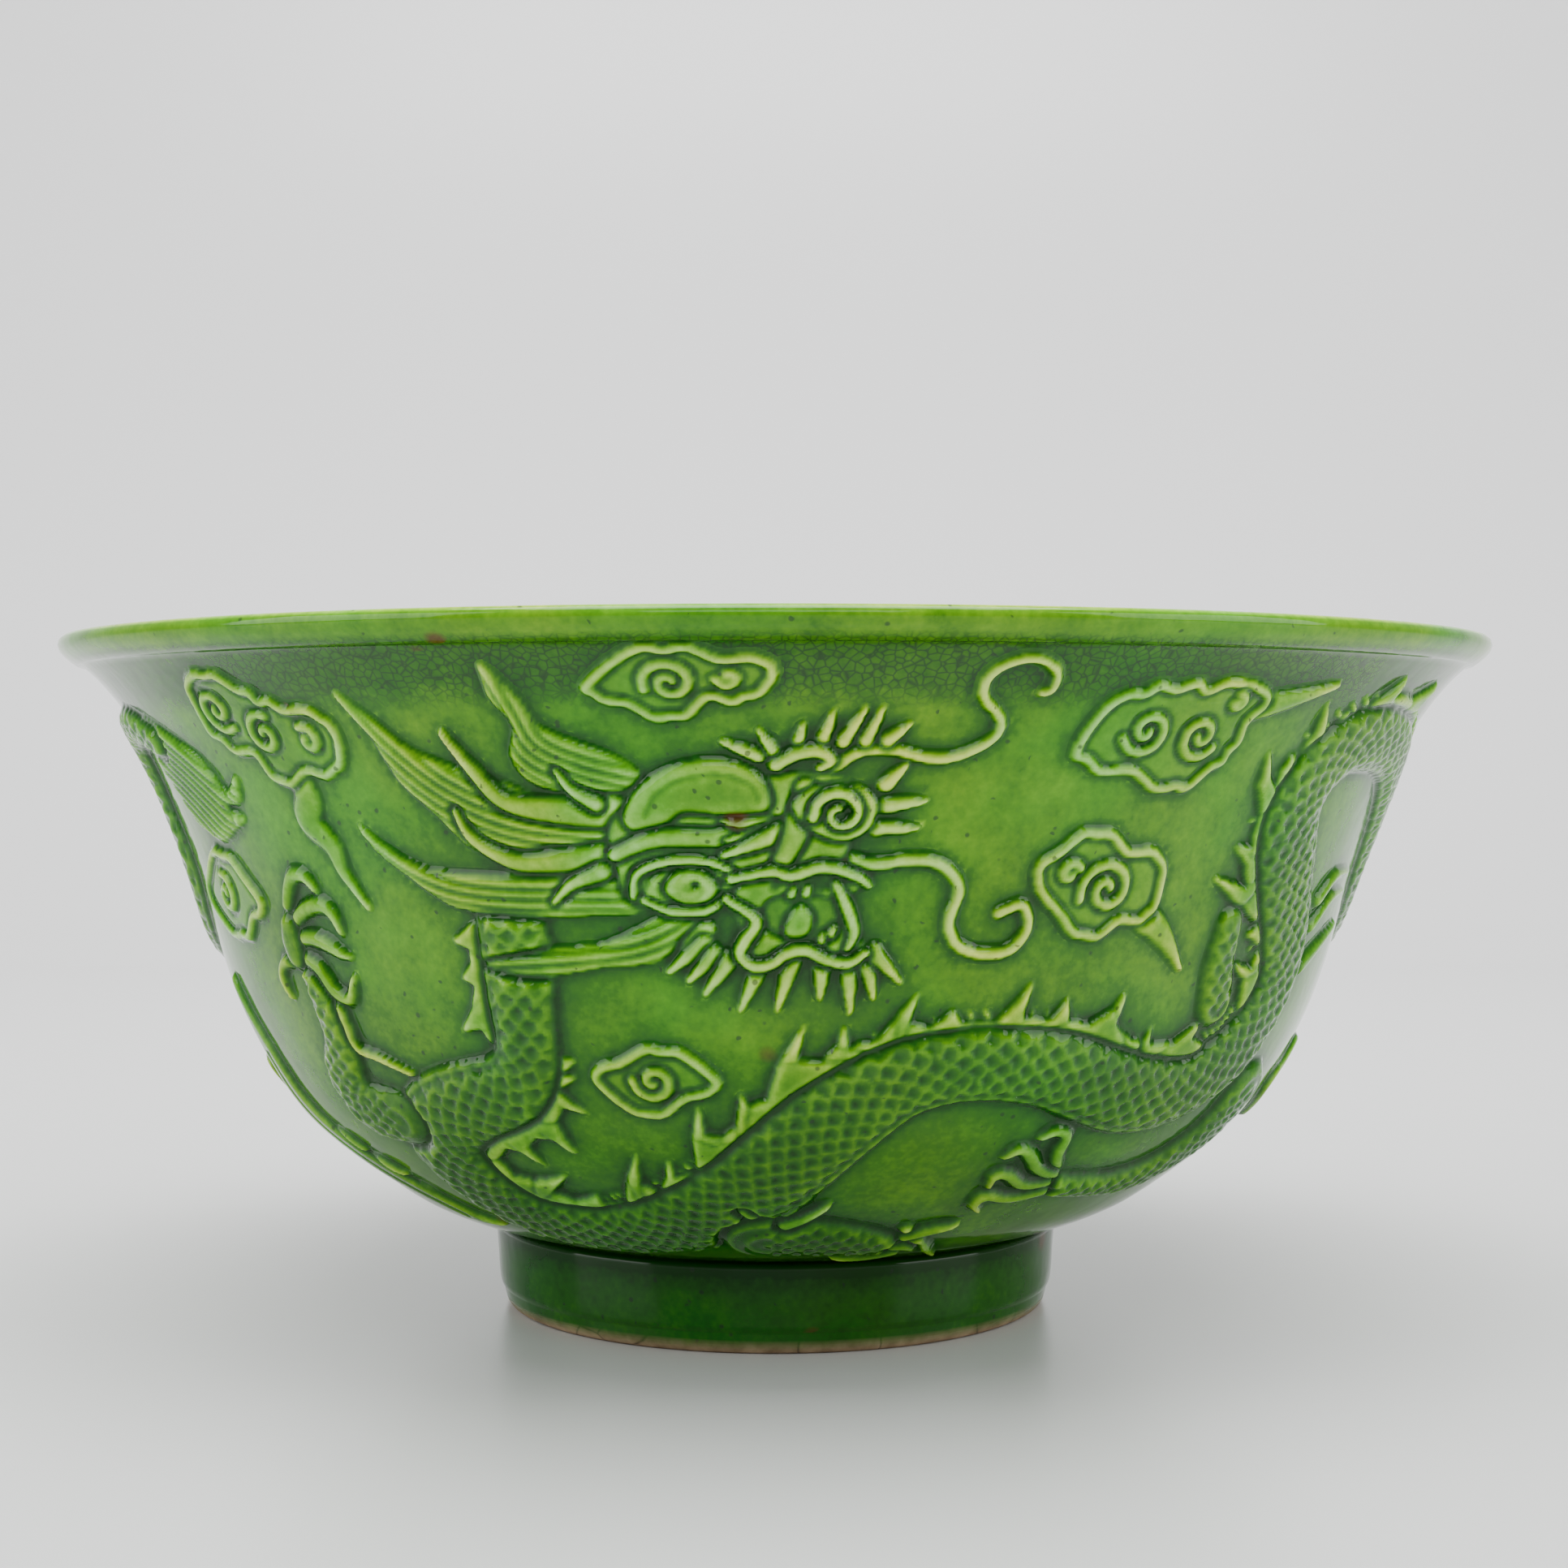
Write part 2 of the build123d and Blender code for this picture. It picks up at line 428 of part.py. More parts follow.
# ---------------------------------------------------------------- clouds
sprig("left_high_cloud",
      blob(-43, [(-51.4, 83.0), (-49.6, 85.8), (-46.0, 86.6), (-43.0, 85.4), (-41.6, 83.0),
                 (-39.0, 82.6), (-35.8, 80.8), (-34.6, 78.0), (-36.4, 75.4), (-39.6, 74.4),
                 (-42.8, 74.0), (-45.4, 76.6), (-48.6, 79.2)]),
      ribbon(-41, [(-41.4, 75.0), (-40.6, 71.6), (-41.0, 69.0), (-39.0, 66.0), (-38.8, 63.0),
                   (-36.8, 58.8)], [4.0, 3.6, 4.0, 2.8, 1.8, 0.8]))

sprig("top_cloud",
      blob(-7, [(-13.0, 86.2), (-10.8, 88.2), (-7.0, 88.9), (-3.4, 88.4), (-0.6, 87.4),
                (0.0, 85.4), (-2.0, 83.8), (-4.4, 83.0), (-7.2, 81.5), (-10.2, 82.4),
                (-12.2, 84.2)]))

sprig("right_high_cloud",
      blob(32, [(22.0, 79.8), (24.0, 82.2), (27.2, 83.6), (29.6, 85.2), (32.4, 84.0),
                (36.2, 85.6), (38.6, 83.6), (38.0, 80.6), (36.9, 77.4), (35.8, 74.6),
                (32.8, 73.6), (28.0, 74.4), (24.2, 76.6)]),
      ribbon(36, [(37.6, 82.6), (41.4, 83.6), (46.4, 85.8)], [3.6, 2.6, 0.8]),
      trimmed_by=["rear_fin"])

sprig("right_middle_cloud",
      blob(28, [(22.4, 63.4), (23.6, 66.2), (26.4, 67.2), (30.0, 65.8), (33.0, 64.4),
                (34.2, 61.4), (33.0, 58.8), (30.2, 57.4), (27.2, 56.8), (24.0, 59.0)]),
      ribbon(28, [(32.0, 59.0), (35.2, 56.2), (38.6, 51.8)], [3.6, 2.6, 0.8]))

sprig("low_cloud",
      blob(-11, [(-16.0, 40.6), (-13.6, 42.8), (-9.8, 43.3), (-6.4, 42.0), (-5.3, 40.0),
                 (-8.2, 37.6), (-11.6, 36.3), (-15.0, 38.0)]), trimmed_by=["middle_fin"])

sprig("side_cloud",
      blob(120, [(113.2, 59.0), (115.4, 62.6), (121.4, 63.5), (125.6, 61.0), (126.9, 58.5),
                 (124.6, 56.2), (121.0, 55.2), (115.4, 56.0)]), trimmed_by=["tail"])

# A long low streamer of cloud that runs out under the other dragon's coil.
sprig("streamer_cloud",
      ribbon(122, [(111.6, 48.0), (114.6, 39.0), (116.0, 31.0), (121.0, 24.0), (127.0, 18.6),
                   (133.0, 13.6), (138.6, 12.0)], [2.0, 5.4, 7.0, 6.6, 6.0, 4.0, 1.0]))

sprig("rear_high_cloud",
      blob(88, [(80.6, 77.4), (83.4, 80.4), (87.6, 80.8), (91.6, 79.6), (94.6, 77.0),
                (92.4, 74.0), (88.4, 72.4), (84.0, 73.6)]), trimmed_by=["tail"])

sprig("rear_low_cloud",
      blob(86, [(72.6, 33.4), (75.6, 37.0), (80.6, 38.2), (86.6, 36.6), (92.0, 35.2),
                (99.0, 34.2), (94.0, 31.4), (86.0, 30.0), (80.6, 28.4), (75.4, 29.6)]))

# ---------------------------------------------------------------- both dragons, and the files
os.makedirs("parts", exist_ok=True)
for finished, label in [(bowl_wall, "bowl_wall"), (foot_ring, "foot_ring")]:
    finished.part.label = label
    export_step(finished.part, f"parts/{label}.step")

for name, shape in sprigs.items():
    for order, turn in [("first", 0.0), ("second", DRAGON_TURN)]:
        with BuildPart() as placed:
            add(shape.rotate(Axis.Z, turn))
        placed.part.label = f"{order}_{name}"
        export_step(placed.part, f"parts/{order}_{name}.step")
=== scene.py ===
import math

import bpy
import numpy as np
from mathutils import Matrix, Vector


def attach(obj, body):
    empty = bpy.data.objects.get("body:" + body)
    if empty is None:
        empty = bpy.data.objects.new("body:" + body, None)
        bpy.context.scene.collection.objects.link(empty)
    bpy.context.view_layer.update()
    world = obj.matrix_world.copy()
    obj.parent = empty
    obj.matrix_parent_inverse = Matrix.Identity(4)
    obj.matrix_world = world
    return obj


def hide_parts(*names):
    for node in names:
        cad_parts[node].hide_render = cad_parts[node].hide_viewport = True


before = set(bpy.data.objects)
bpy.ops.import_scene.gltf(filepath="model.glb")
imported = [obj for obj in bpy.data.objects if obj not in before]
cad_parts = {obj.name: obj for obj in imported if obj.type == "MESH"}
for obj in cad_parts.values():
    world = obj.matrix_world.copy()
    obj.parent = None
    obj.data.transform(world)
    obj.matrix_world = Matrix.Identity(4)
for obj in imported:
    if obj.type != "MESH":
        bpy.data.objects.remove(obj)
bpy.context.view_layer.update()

# A footed porcelain bowl under green glaze, with the same dragon among clouds twice round it.
# Lengths inside the relief are millimetres and are turned into metres where a mesh is made.
# A place on the wall is (degrees round from the front, millimetres up the wall from the foot).
MM = 0.001
WALL_THICKNESS = 3.0
OUTER_WALL = [          # (radius, height) from the foot joint up to the lip
    (36.4, 11.4), (41.0, 12.8), (46.0, 15.0), (50.5, 18.0), (55.6, 22.0),
    (60.9, 27.2), (65.0, 33.2), (68.4, 40.2), (71.0, 48.0), (73.2, 56.0),
    (76.2, 64.2), (78.9, 70.2), (81.8, 75.2), (84.8, 79.0), (87.2, 81.3),
]


# ---- curves
STEPS_A_SPAN = 24      # samples between two places of a smooth line
WALL_SAMPLES = 600
SLOPE_REACH = 0.6      # how far up and down the wall its slope is taken


def smooth_line(points, count, closed=False):
    """A smooth curve through the points, sampled evenly along its length."""
    given = np.array(points, float)
    if len(given) == 2:
        share = np.linspace(0, 1, count)[:, None]
        return given[0] * (1 - share) + given[1] * share
    ends = np.vstack([2 * given[0] - given[1], given, 2 * given[-1] - given[-2]])
    if closed:
        ends = np.vstack([given[-2], given, given[1]])
    fine = []
    for step in range(len(given) - 1):
        p0, p1, p2, p3 = ends[step:step + 4]
        t = np.linspace(0, 1, STEPS_A_SPAN, endpoint=False)[:, None]
        fine.append(0.5 * (2 * p1 + (p2 - p0) * t + (2 * p0 - 5 * p1 + 4 * p2 - p3) * t ** 2
                           + (3 * p1 - p0 - 3 * p2 + p3) * t ** 3))
    fine.append(given[-1:])
    fine = np.vstack(fine)
    length = np.concatenate([[0], np.cumsum(np.hypot(*np.diff(fine, axis=0).T))])
    even = np.linspace(0, length[-1], count)
    return np.stack([np.interp(even, length, fine[:, 0]), np.interp(even, length, fine[:, 1])], 1)


wall_fine = smooth_line(OUTER_WALL, WALL_SAMPLES)
wall_climb = np.concatenate([[0], np.cumsum(np.hypot(*np.diff(wall_fine, axis=0).T))])
WALL_LENGTH = wall_climb[-1]


def radius_at(climb):
    return np.interp(climb, wall_climb, wall_fine[:, 0])


def height_at(climb):
    return np.interp(climb, wall_climb, wall_fine[:, 1])


def wall_frame(climb):
    """Radius, height and outward direction of the wall at a climb."""
    before = np.clip(climb - SLOPE_REACH, 0, WALL_LENGTH)
    after = np.clip(climb + SLOPE_REACH, 0, WALL_LENGTH)
    dr = radius_at(after) - radius_at(before)
    dz = height_at(after) - height_at(before)
    size = np.hypot(dr, dz)
    return radius_at(climb), height_at(climb), dz / size, -dr / size


# ---- the relief grid
FIRST_DEGREE = -55.0              # where the grid's first column stands
ACROSS = 800                      # columns in the half turn that one dragon fills
UP = 272                          # rows from the foot joint to the lip
degree_step = 180.0 / ACROSS
row_climb = np.linspace(0.0, WALL_LENGTH, UP)
row_radius = radius_at(row_climb)
height = np.zeros((UP, ACROSS))   # millimetres of clay above the wall
owner = np.zeros((UP, ACROSS), int)
names = ["wall"]
FAR = 1e9                         # further off than anything on the bowl
LEAST_RADIUS = 30.0               # the wall is never narrower than this
RADIUS_SPARE = 12.0               # a window may reach down to where the wall is this much narrower


class Window:
    """The part of the grid round some places, with its own columns and rows."""
    def __init__(self, places, margin):
        degrees = [p[0] for p in places]
        climbs = [p[1] for p in places]
        middle = radius_at(sum(climbs) / len(climbs))
        spread = math.degrees(margin / max(LEAST_RADIUS, middle - RADIUS_SPARE))
        first = math.floor((min(degrees) - spread - FIRST_DEGREE) / degree_step)
        last = math.ceil((max(degrees) + spread - FIRST_DEGREE) / degree_step)
        bottom = max(0, int(np.searchsorted(row_climb, min(climbs) - margin)) - 1)
        top = min(UP, int(np.searchsorted(row_climb, max(climbs) + margin)) + 1)
        columns = np.arange(first, last + 1)
        self.degree, self.climb = np.meshgrid(FIRST_DEGREE + columns * degree_step,
                                              row_climb[bottom:top])
        self.rows, self.columns = np.meshgrid(np.arange(bottom, top), columns % ACROSS,
                                              indexing="ij")

    def apart(self, a, b):
        """Distance to the stretch a-b, how far along it, and which side (left is positive)."""
        r = float(radius_at((a[1] + b[1]) / 2))
        gx = np.radians(self.degree - a[0]) * r
        gy = self.climb - a[1]
        bx = math.radians(b[0] - a[0]) * r
        by = b[1] - a[1]
        size = bx * bx + by * by + 1e-12
        share = np.clip((gx * bx + gy * by) / size, 0, 1)
        dx = gx - share * bx
        dy = gy - share * by
        return np.hypot(dx, dy), share, (bx * gy - by * gx) / math.sqrt(size), math.sqrt(size)


def along(window, places, count=None):
    """Nearest distance, distance along the line, signed distance across, share of the way."""
    count = count or max(8, 5 * len(places))
    line = smooth_line(places, count, closed=len(places) > 3 and places[0] == places[-1])
    best = np.full(window.degree.shape, FAR)
    run = np.zeros_like(best)
    side = np.zeros_like(best)
    travelled = 0.0
    for a, b in zip(line[:-1], line[1:]):
        d, share, left, size = window.apart(a, b)
        nearer = d < best
        best = np.where(nearer, d, best)
        run = np.where(nearer, travelled + share * size, run)
        side = np.where(nearer, np.sign(left) * d, side)
        travelled += size
    return best, run, side, run / travelled


def inside(window, outline):
    """Signed distance in from the edge of a closed outline, positive inside."""
    best = np.full(window.degree.shape, FAR)
    odd = np.zeros(window.degree.shape, bool)
    for a, b in zip(outline, np.roll(outline, -1, axis=0)):
        d = window.apart(a, b)[0]
        best = np.minimum(best, d)
        crosses = (a[1] > window.climb) != (b[1] > window.climb)
        if a[1] != b[1]:
            reach = (b[0] - a[0]) * (window.climb - a[1]) / (b[1] - a[1]) + a[0]
            odd ^= crosses & (window.degree < reach)
    return np.where(odd, best, -best)


def ease(x):
    x = np.clip(x, 0, 1)
    return x * x * (3 - 2 * x)


def dome(depth, reach):
    """0 at the edge, rising as a quarter round to 1 at reach."""
    x = np.clip(depth / reach, 0, 1)
    return np.sqrt(np.clip(1 - (1 - x) ** 2, 0, 1))


CUT = 0.75              # how far round a piece its edge presses into what lies behind it
CUT_LEFT = 0.12         # share of what lies behind that is left right beside the edge
EDGE = 0.18             # height left at a piece's own edge
LEAST_HEIGHT = 0.02     # a pressed mark goes no lower
MARK_SLOPE = 0.5        # width of a pressed mark's rounded side


def lay(name, window, depth, lift):
    """Lays one shape over whatever is there. depth is positive inside the shape."""
    if name not in names:
        names.append(name)
    here = (window.rows, window.columns)
    under = height[here]
    beside = ease(-depth / CUT)
    height[here] = np.where(depth > 0, lift, under * (CUT_LEFT + (1 - CUT_LEFT) * beside))
    owner[here] = np.where(depth > 0, names.index(name), owner[here])


def press(window, depth, amount):
    """Presses a mark into whatever is there."""
    here = (window.rows, window.columns)
    marked = height[here] - amount * (depth > 0) * dome(depth, MARK_SLOPE)
    height[here] = np.maximum(LEAST_HEIGHT, marked)


def shares(places):
    """Each place's share of the way along its line."""
    steps = np.diff(np.array([p[:2] for p in places], float), axis=0)
    middles = [(a[1] + b[1]) / 2 for a, b in zip(places[:-1], places[1:])]
    steps[:, 0] *= math.radians(1) * radius_at(np.array(middles))
    at = np.concatenate([[0], np.cumsum(np.hypot(steps[:, 0], steps[:, 1]))])
    return at / at[-1]


def width_at(share, widths, places):
    """Width along a line: one width a place where the counts match, else evenly spread."""
    even = len(widths) != len(places) or len(places) < 3
    return np.interp(share, np.linspace(0, 1, len(widths)) if even else shares(places), widths)


def strand(name, places, widths, lift, flat=False):
    """A rounded roll of clay along a line."""
    window = Window(places, max(widths) + 1.6)
    d, _, _, share = along(window, places, 8 if len(places) == 2 else None)
    half = width_at(share, widths, places) / 2
    depth = half - d
    body = dome(depth, 0.45 if flat else np.maximum(half, 0.3))
    lay(name, window, depth, EDGE + (lift - EDGE) * body)


def groove(places, width, amount):
    window = Window(places, width + 1)
    d = along(window, places)[0]
    press(window, width / 2 - d, amount)


def pit(place, radius, amount):
    beside = (place[0] + 0.01, place[1])
    window = Window([place, beside], radius + 1)
    d = window.apart(place, beside)[0]
    here = (window.rows, window.columns)
    sunk = height[here] - amount * ease((radius - d) / (radius * 0.7))
    height[here] = np.maximum(LEAST_HEIGHT, sunk)


def pad(name, places, lift, edge, straight=False):
    """A raised shape with a rounded edge."""
    window = Window(places, 2.0)
    closed = np.array(places, float)
    if not straight:
        closed = smooth_line(list(places) + [places[0]], 8 * len(places), closed=True)[:-1]
    depth = inside(window, closed)
    lay(name, window, depth, EDGE + (lift - EDGE) * dome(depth, edge))
    return window, depth


SCALE_ROW = 0.62        # how far apart the rows of scales are, in pitches
SCALE_REACH = 0.56      # a scale's radius, in pitches
SCALE_RIM = 0.47        # where its raised rim runs, in pitches
NO_SCALE = -9.0         # marks where no scale has been laid yet
LEG_SCALE = 0.34        # how far the scales stand up on a leg


def scaled(run, side, pitch, amount):
    """Overlapping scales along a band, each with a raised rim towards the tail."""
    row = np.floor(run / (pitch * SCALE_ROW))
    best = np.full(run.shape, NO_SCALE)
    for back in (0, 1, 2):
        r = row - back
        centre = r * pitch * SCALE_ROW
        across = side / pitch + (r % 2) * 0.5
        u = across - np.floor(across) - 0.5
        reach = np.hypot(u * 1.02, (run - centre) / pitch * 0.92)
        scale = 0.30 + 0.7 * ease((reach - 0.16) / 0.3)
        rim = np.exp(-((reach - SCALE_RIM) / 0.07) ** 2)
        value = scale * 0.55 + rim * 0.45 - back * 0.16
        best = np.where((best == NO_SCALE) & (reach < SCALE_REACH), value, best)
    return amount * np.clip(best, -0.3, 1.0)


def scaly_band(name, places, widths, lift, pitch):
    """A long rounded body with scales."""
    window = Window(places, max(widths) / 2 + 1.5)
    d, run, side, share = along(window, places, 6 * len(places))
    half = width_at(share, widths, places) / 2
    depth = half - d
    body = EDGE + (lift - EDGE) * dome(depth, half * 0.85)
    lay(name, window, depth, body + scaled(run, side, pitch, LEG_SCALE) * ease(depth))


HAIR_PITCH = 1.15       # from one groove of a lock to the next
HAIR_CUT = 0.62         # how deep the grooves are
HAIR_LEAST = 0.1        # height left at the bottom of one


def hair(name, outline, flow, lift):
    """A lock of hair: an outline whose grooves run along the flow line."""
    window, depth = pad(name, outline, lift, edge=1.1)
    _, run, side, _ = along(window, flow)
    here = (window.rows, window.columns)
    waves = np.cos(2 * math.pi * side / HAIR_PITCH + 0.5 * np.sin(run / 3.1))
    cut = HAIR_CUT * (0.5 - 0.5 * waves) * ease(depth / 0.5)
    height[here] = np.where(depth > 0, np.maximum(HAIR_LEAST, height[here] - cut), height[here])


def spikes(name, base, tips, base_width, lift):
    """A row of pointed spikes out of a base line, each a tapering roll."""
    for place, tip in zip(base, tips):
        middle = ((place[0] + tip[0]) / 2, (place[1] + tip[1]) / 2)
        strand(name, [place, middle, tip], [base_width, base_width * 0.72, 0.35], lift)


STEPS_A_TURN = 10       # places in one turn of a spiral
SPIRAL_IN = 0.86        # share of its radius that a spiral winds in


def spiral(place, turns, radius, way, start):
    """Places along a spiral that winds in to its centre. A way of 1 is anticlockwise."""
    r0 = float(radius_at(place[1]))
    out = []
    for step in range(int(turns * STEPS_A_TURN) + 1):
        share = step / (turns * STEPS_A_TURN)
        angle = math.radians(start) + way * share * turns * 2 * math.pi
        reach = radius * (1 - SPIRAL_IN * share)
        out.append((place[0] + math.degrees(reach * math.cos(angle) / r0),
                    place[1] + reach * math.sin(angle)))
    return out


# ---- fins, behind the body
def fin(name, edge, root):
    """A saw-edged fin from its outer edge back to its root line, with rays pressed in."""
    pad(name, edge + root[::-1], 1.0, edge=0.55, straight=True)
    for place in edge[1:-1:2]:
        gaps = [(place[0] - r[0]) ** 2 * 1.4 + (place[1] - r[1]) ** 2 for r in root]
        near = root[gaps.index(min(gaps))]
        groove([place, ((place[0] + near[0]) / 2, (place[1] + near[1]) / 2)], 0.5, 0.34)


# The body is one band from the neck round the coil, over the middle, and down to the tail.
BODY = [
    (-22.2, 58.2, 8.0), (-22.0, 54.0, 8.6), (-22.3, 49.0, 7.8), (-22.4, 45.0, 7.2),
    (-23.0, 41.4, 7.6), (-25.2, 38.6, 8.8), (-28.0, 37.2, 9.6), (-31.0, 36.0, 10.2), (-34.2, 34.0, 10.8),
    (-36.6, 31.0, 11.2), (-37.3, 26.2, 11.6), (-36.2, 21.6, 11.6), (-33.6, 17.6, 11.5),
    (-30.0, 15.2, 11.4), (-24.0, 14.2, 11.2), (-18.0, 14.2, 12.0), (-11.0, 16.5, 13.0),
    (-4.0, 22.0, 12.9), (1.0, 28.5, 12.2), (5.5, 34.5, 11.6), (11.0, 39.7, 9.9), (16.0, 41.5, 9.1),
    (21.0, 41.7, 9.0), (26.5, 40.7, 9.4), (31.5, 38.6, 9.8), (37.5, 36.4, 10.3), (44.0, 36.2, 9.8),
    (50.0, 39.5, 10.8), (53.5, 44.5, 10.5), (55.0, 50.5, 10.7), (53.5, 57.0, 11.5),
    (51.0, 63.0, 11.9), (49.0, 69.0, 11.9), (50.5, 75.0, 10.5), (55.0, 78.6, 9.0),
    (61.0, 78.7, 8.0), (67.0, 77.0, 7.7), (72.0, 73.2, 7.8), (77.0, 67.6, 8.2), (83.0, 59.0, 8.4),
    (91.0, 52.6, 8.0), (98.0, 55.0, 7.2), (102.4, 62.0, 6.2), (101.6, 71.0, 5.6),
    (104.6, 79.0, 5.2), (110.6, 81.0, 5.0), (117.0, 78.6, 4.4)]
# Each stretch of the body, and how far along BODY's places it runs.
BODY_PARTS = [("neck", 3.5), ("coil", 15.1), ("middle_body", 24.8),
              ("rear_body", 36.2), ("tail_base", 41.0), ("tail", 99.0)]
BODY_PLACES = [p[:2] for p in BODY]
BODY_WIDTHS = [p[2] for p in BODY]
FIN_SPLIT = 36.0        # degree at which the middle fin gives way to the rear fin


def back_comb(first, last, spacing, reach):
    """A fringe of small leaning teeth along the body's back edge."""
    line = smooth_line(BODY_PLACES, 1600)
    r = radius_at(line[:, 1])
    flat = np.diff(line, axis=0) * np.stack([np.radians(1) * r[:-1], np.ones(len(r) - 1)], 1)
    walked = np.concatenate([[0], np.cumsum(np.hypot(flat[:, 0], flat[:, 1]))])
    start, end = np.interp([first, last], range(len(BODY)), shares(BODY_PLACES)) * walked[-1]
    at = start
    while at < end:
        k = min(int(np.searchsorted(walked, at)), len(flat) - 1)
        ahead = flat[k] / np.hypot(*flat[k])
        left = np.array([-ahead[1], ahead[0]])
        half = width_at(at / walked[-1], BODY_WIDTHS, BODY_PLACES) / 2
        root = left * (half - 0.3)
        tip = left * (half + reach) - ahead * reach * 0.5
        scale = [1 / (math.radians(1) * r[k]), 1.0]
        name = "middle_fin" if line[k][0] < FIN_SPLIT else "rear_fin"
        tooth = [tuple(line[k] + root * scale), tuple(line[k] + tip * scale)]
        strand(name, tooth, [1.1, 0.35], 0.95)
        at += spacing


back_comb(14.6, 37.0, 1.5, 1.7)
fin("middle_fin",
    [(-17.2, 21.2), (-15.8, 26.0), (-13.9, 30.1), (-14.3, 25.2), (-12.6, 23.8), (-11.4, 26.6),
     (-10.8, 29.4), (-10.2, 26.8), (-8.0, 27.4), (-7.9, 33.0), (-7.0, 37.2), (-6.5, 33.6),
     (-5.0, 33.1), (-3.6, 34.6), (-3.0, 38.7), (-2.2, 37.4), (-0.6, 38.2), (0.4, 42.6),
     (2.8, 47.2), (2.2, 43.2), (4.2, 42.9), (5.4, 44.6), (6.1, 47.0), (6.6, 44.6), (9.0, 45.2),
     (10.6, 48.0), (12.4, 50.4), (11.8, 47.2), (13.6, 46.5), (15.6, 48.4), (16.4, 47.0),
     (19.6, 47.0), (21.2, 49.0), (22.9, 51.5), (22.2, 47.2), (24.8, 47.0), (26.5, 49.2),
     (26.9, 46.8), (29.0, 46.2), (31.4, 47.8), (32.8, 49.8), (32.2, 46.0), (34.4, 44.0),
     (36.0, 43.6)],
    [(-15.0, 19.0), (-3.0, 31.0), (10.5, 43.0), (21.0, 44.0), (36.0, 40.0)])
fin("rear_fin",
    [(36.0, 43.6), (36.9, 45.4), (37.0, 43.2), (40.0, 43.2), (44.2, 46.4), (42.6, 43.6),
     (45.0, 42.4), (47.0, 43.4), (48.6, 46.0), (47.8, 50.0), (45.4, 52.2), (48.6, 51.4),
     (49.4, 53.6), (46.8, 55.2), (48.2, 56.6), (44.6, 58.4), (40.1, 62.4), (44.6, 61.2),
     (43.8, 63.6), (41.9, 65.9), (44.0, 65.8), (43.8, 69.6), (42.3, 73.0), (42.2, 77.6),
     (43.4, 74.2), (44.4, 73.0), (44.6, 75.0), (45.4, 76.8), (46.2, 76.2), (46.8, 79.0),
     (46.9, 83.4), (48.2, 79.6), (49.4, 80.4), (50.2, 82.4), (51.4, 81.8), (53.4, 83.4),
     (56.8, 87.6), (56.4, 84.6), (58.8, 85.0), (61.4, 84.6), (66.0, 87.2), (64.6, 83.6),
     (70.0, 80.0), (73.0, 78.6), (72.6, 74.8), (77.0, 73.4), (76.4, 70.4), (80.4, 68.6)],
    [(36.0, 40.0), (49.0, 42.0), (52.0, 52.0), (48.0, 63.0), (47.0, 71.0), (52.0, 78.0),
     (61.0, 80.0), (68.0, 77.0), (76.0, 69.0)])
fin("neck_fins",
    [(-24.6, 57.6), (-25.4, 58.2), (-28.2, 55.6), (-26.6, 54.8), (-26.6, 53.2), (-27.9, 51.4),
     (-26.6, 50.6), (-27.4, 48.0), (-29.0, 45.2), (-26.8, 45.6), (-26.0, 43.8)],
    [(-24.6, 57.6), (-25.2, 54.0), (-25.2, 50.0), (-24.6, 45.6)])
fin("neck_fins",
    [(-20.4, 43.4), (-17.8, 42.3), (-19.3, 40.8), (-18.0, 40.3), (-20.2, 38.6), (-17.6, 35.2),
     (-20.2, 36.2), (-21.2, 34.4), (-20.3, 29.0), (-22.2, 31.6), (-24.2, 31.9), (-25.4, 30.4),
     (-25.0, 26.8), (-26.4, 29.2), (-28.2, 30.0), (-30.2, 28.0), (-29.6, 25.4), (-27.4, 24.6),
     (-22.8, 25.6), (-25.6, 22.6), (-23.6, 21.0), (-20.4, 22.2), (-19.8, 20.8), (-17.2, 21.2)],
    [(-22.6, 42.0), (-23.0, 38.0), (-24.4, 34.2), (-29.0, 33.0), (-33.0, 28.0), (-33.0, 24.0),
     (-29.0, 20.0), (-24.0, 18.0), (-18.4, 18.4)])

# ---- body, tail end first
hair("tail_tuft",
     [(115.0, 82.0), (120.6, 79.4), (125.0, 76.4), (127.6, 72.4), (130.0, 74.2), (129.4, 71.0),
      (127.0, 70.4), (128.8, 68.8), (126.4, 67.4), (122.7, 66.0), (118.0, 68.2), (115.6, 72.0),
      (113.6, 76.0)],
     [(112.0, 80.0), (118.0, 76.5), (123.0, 72.5), (127.0, 69.0)], 1.15)
for lock, widths in (([(60.2, 58.6), (63.6, 61.4), (68.6, 61.8)], [1.8, 1.6, 0.7]),
                     ([(60.0, 55.4), (64.0, 58.6), (69.0, 59.4)], [1.8, 1.6, 0.7]),
                     ([(60.0, 50.4), (64.4, 53.0), (69.2, 55.2)], [2.2, 1.7, 0.7])):
    strand("left_hind_leg", lock, widths, 0.9)
scaly_band("left_hind_leg", [(44.0, 56.6), (43.8, 52.0), (44.6, 47.4)], [4.2, 5.2, 5.6], 0.95, 1.9)
scaly_band("right_hind_leg",
           [(33.0, 22.6), (37.0, 22.0), (42.0, 21.4), (48.0, 21.8), (53.0, 24.4), (57.0, 29.0),
            (59.0, 34.5)], [4.2, 4.2, 4.4, 6.0, 7.6, 8.6, 8.4], 1.15, 1.9)
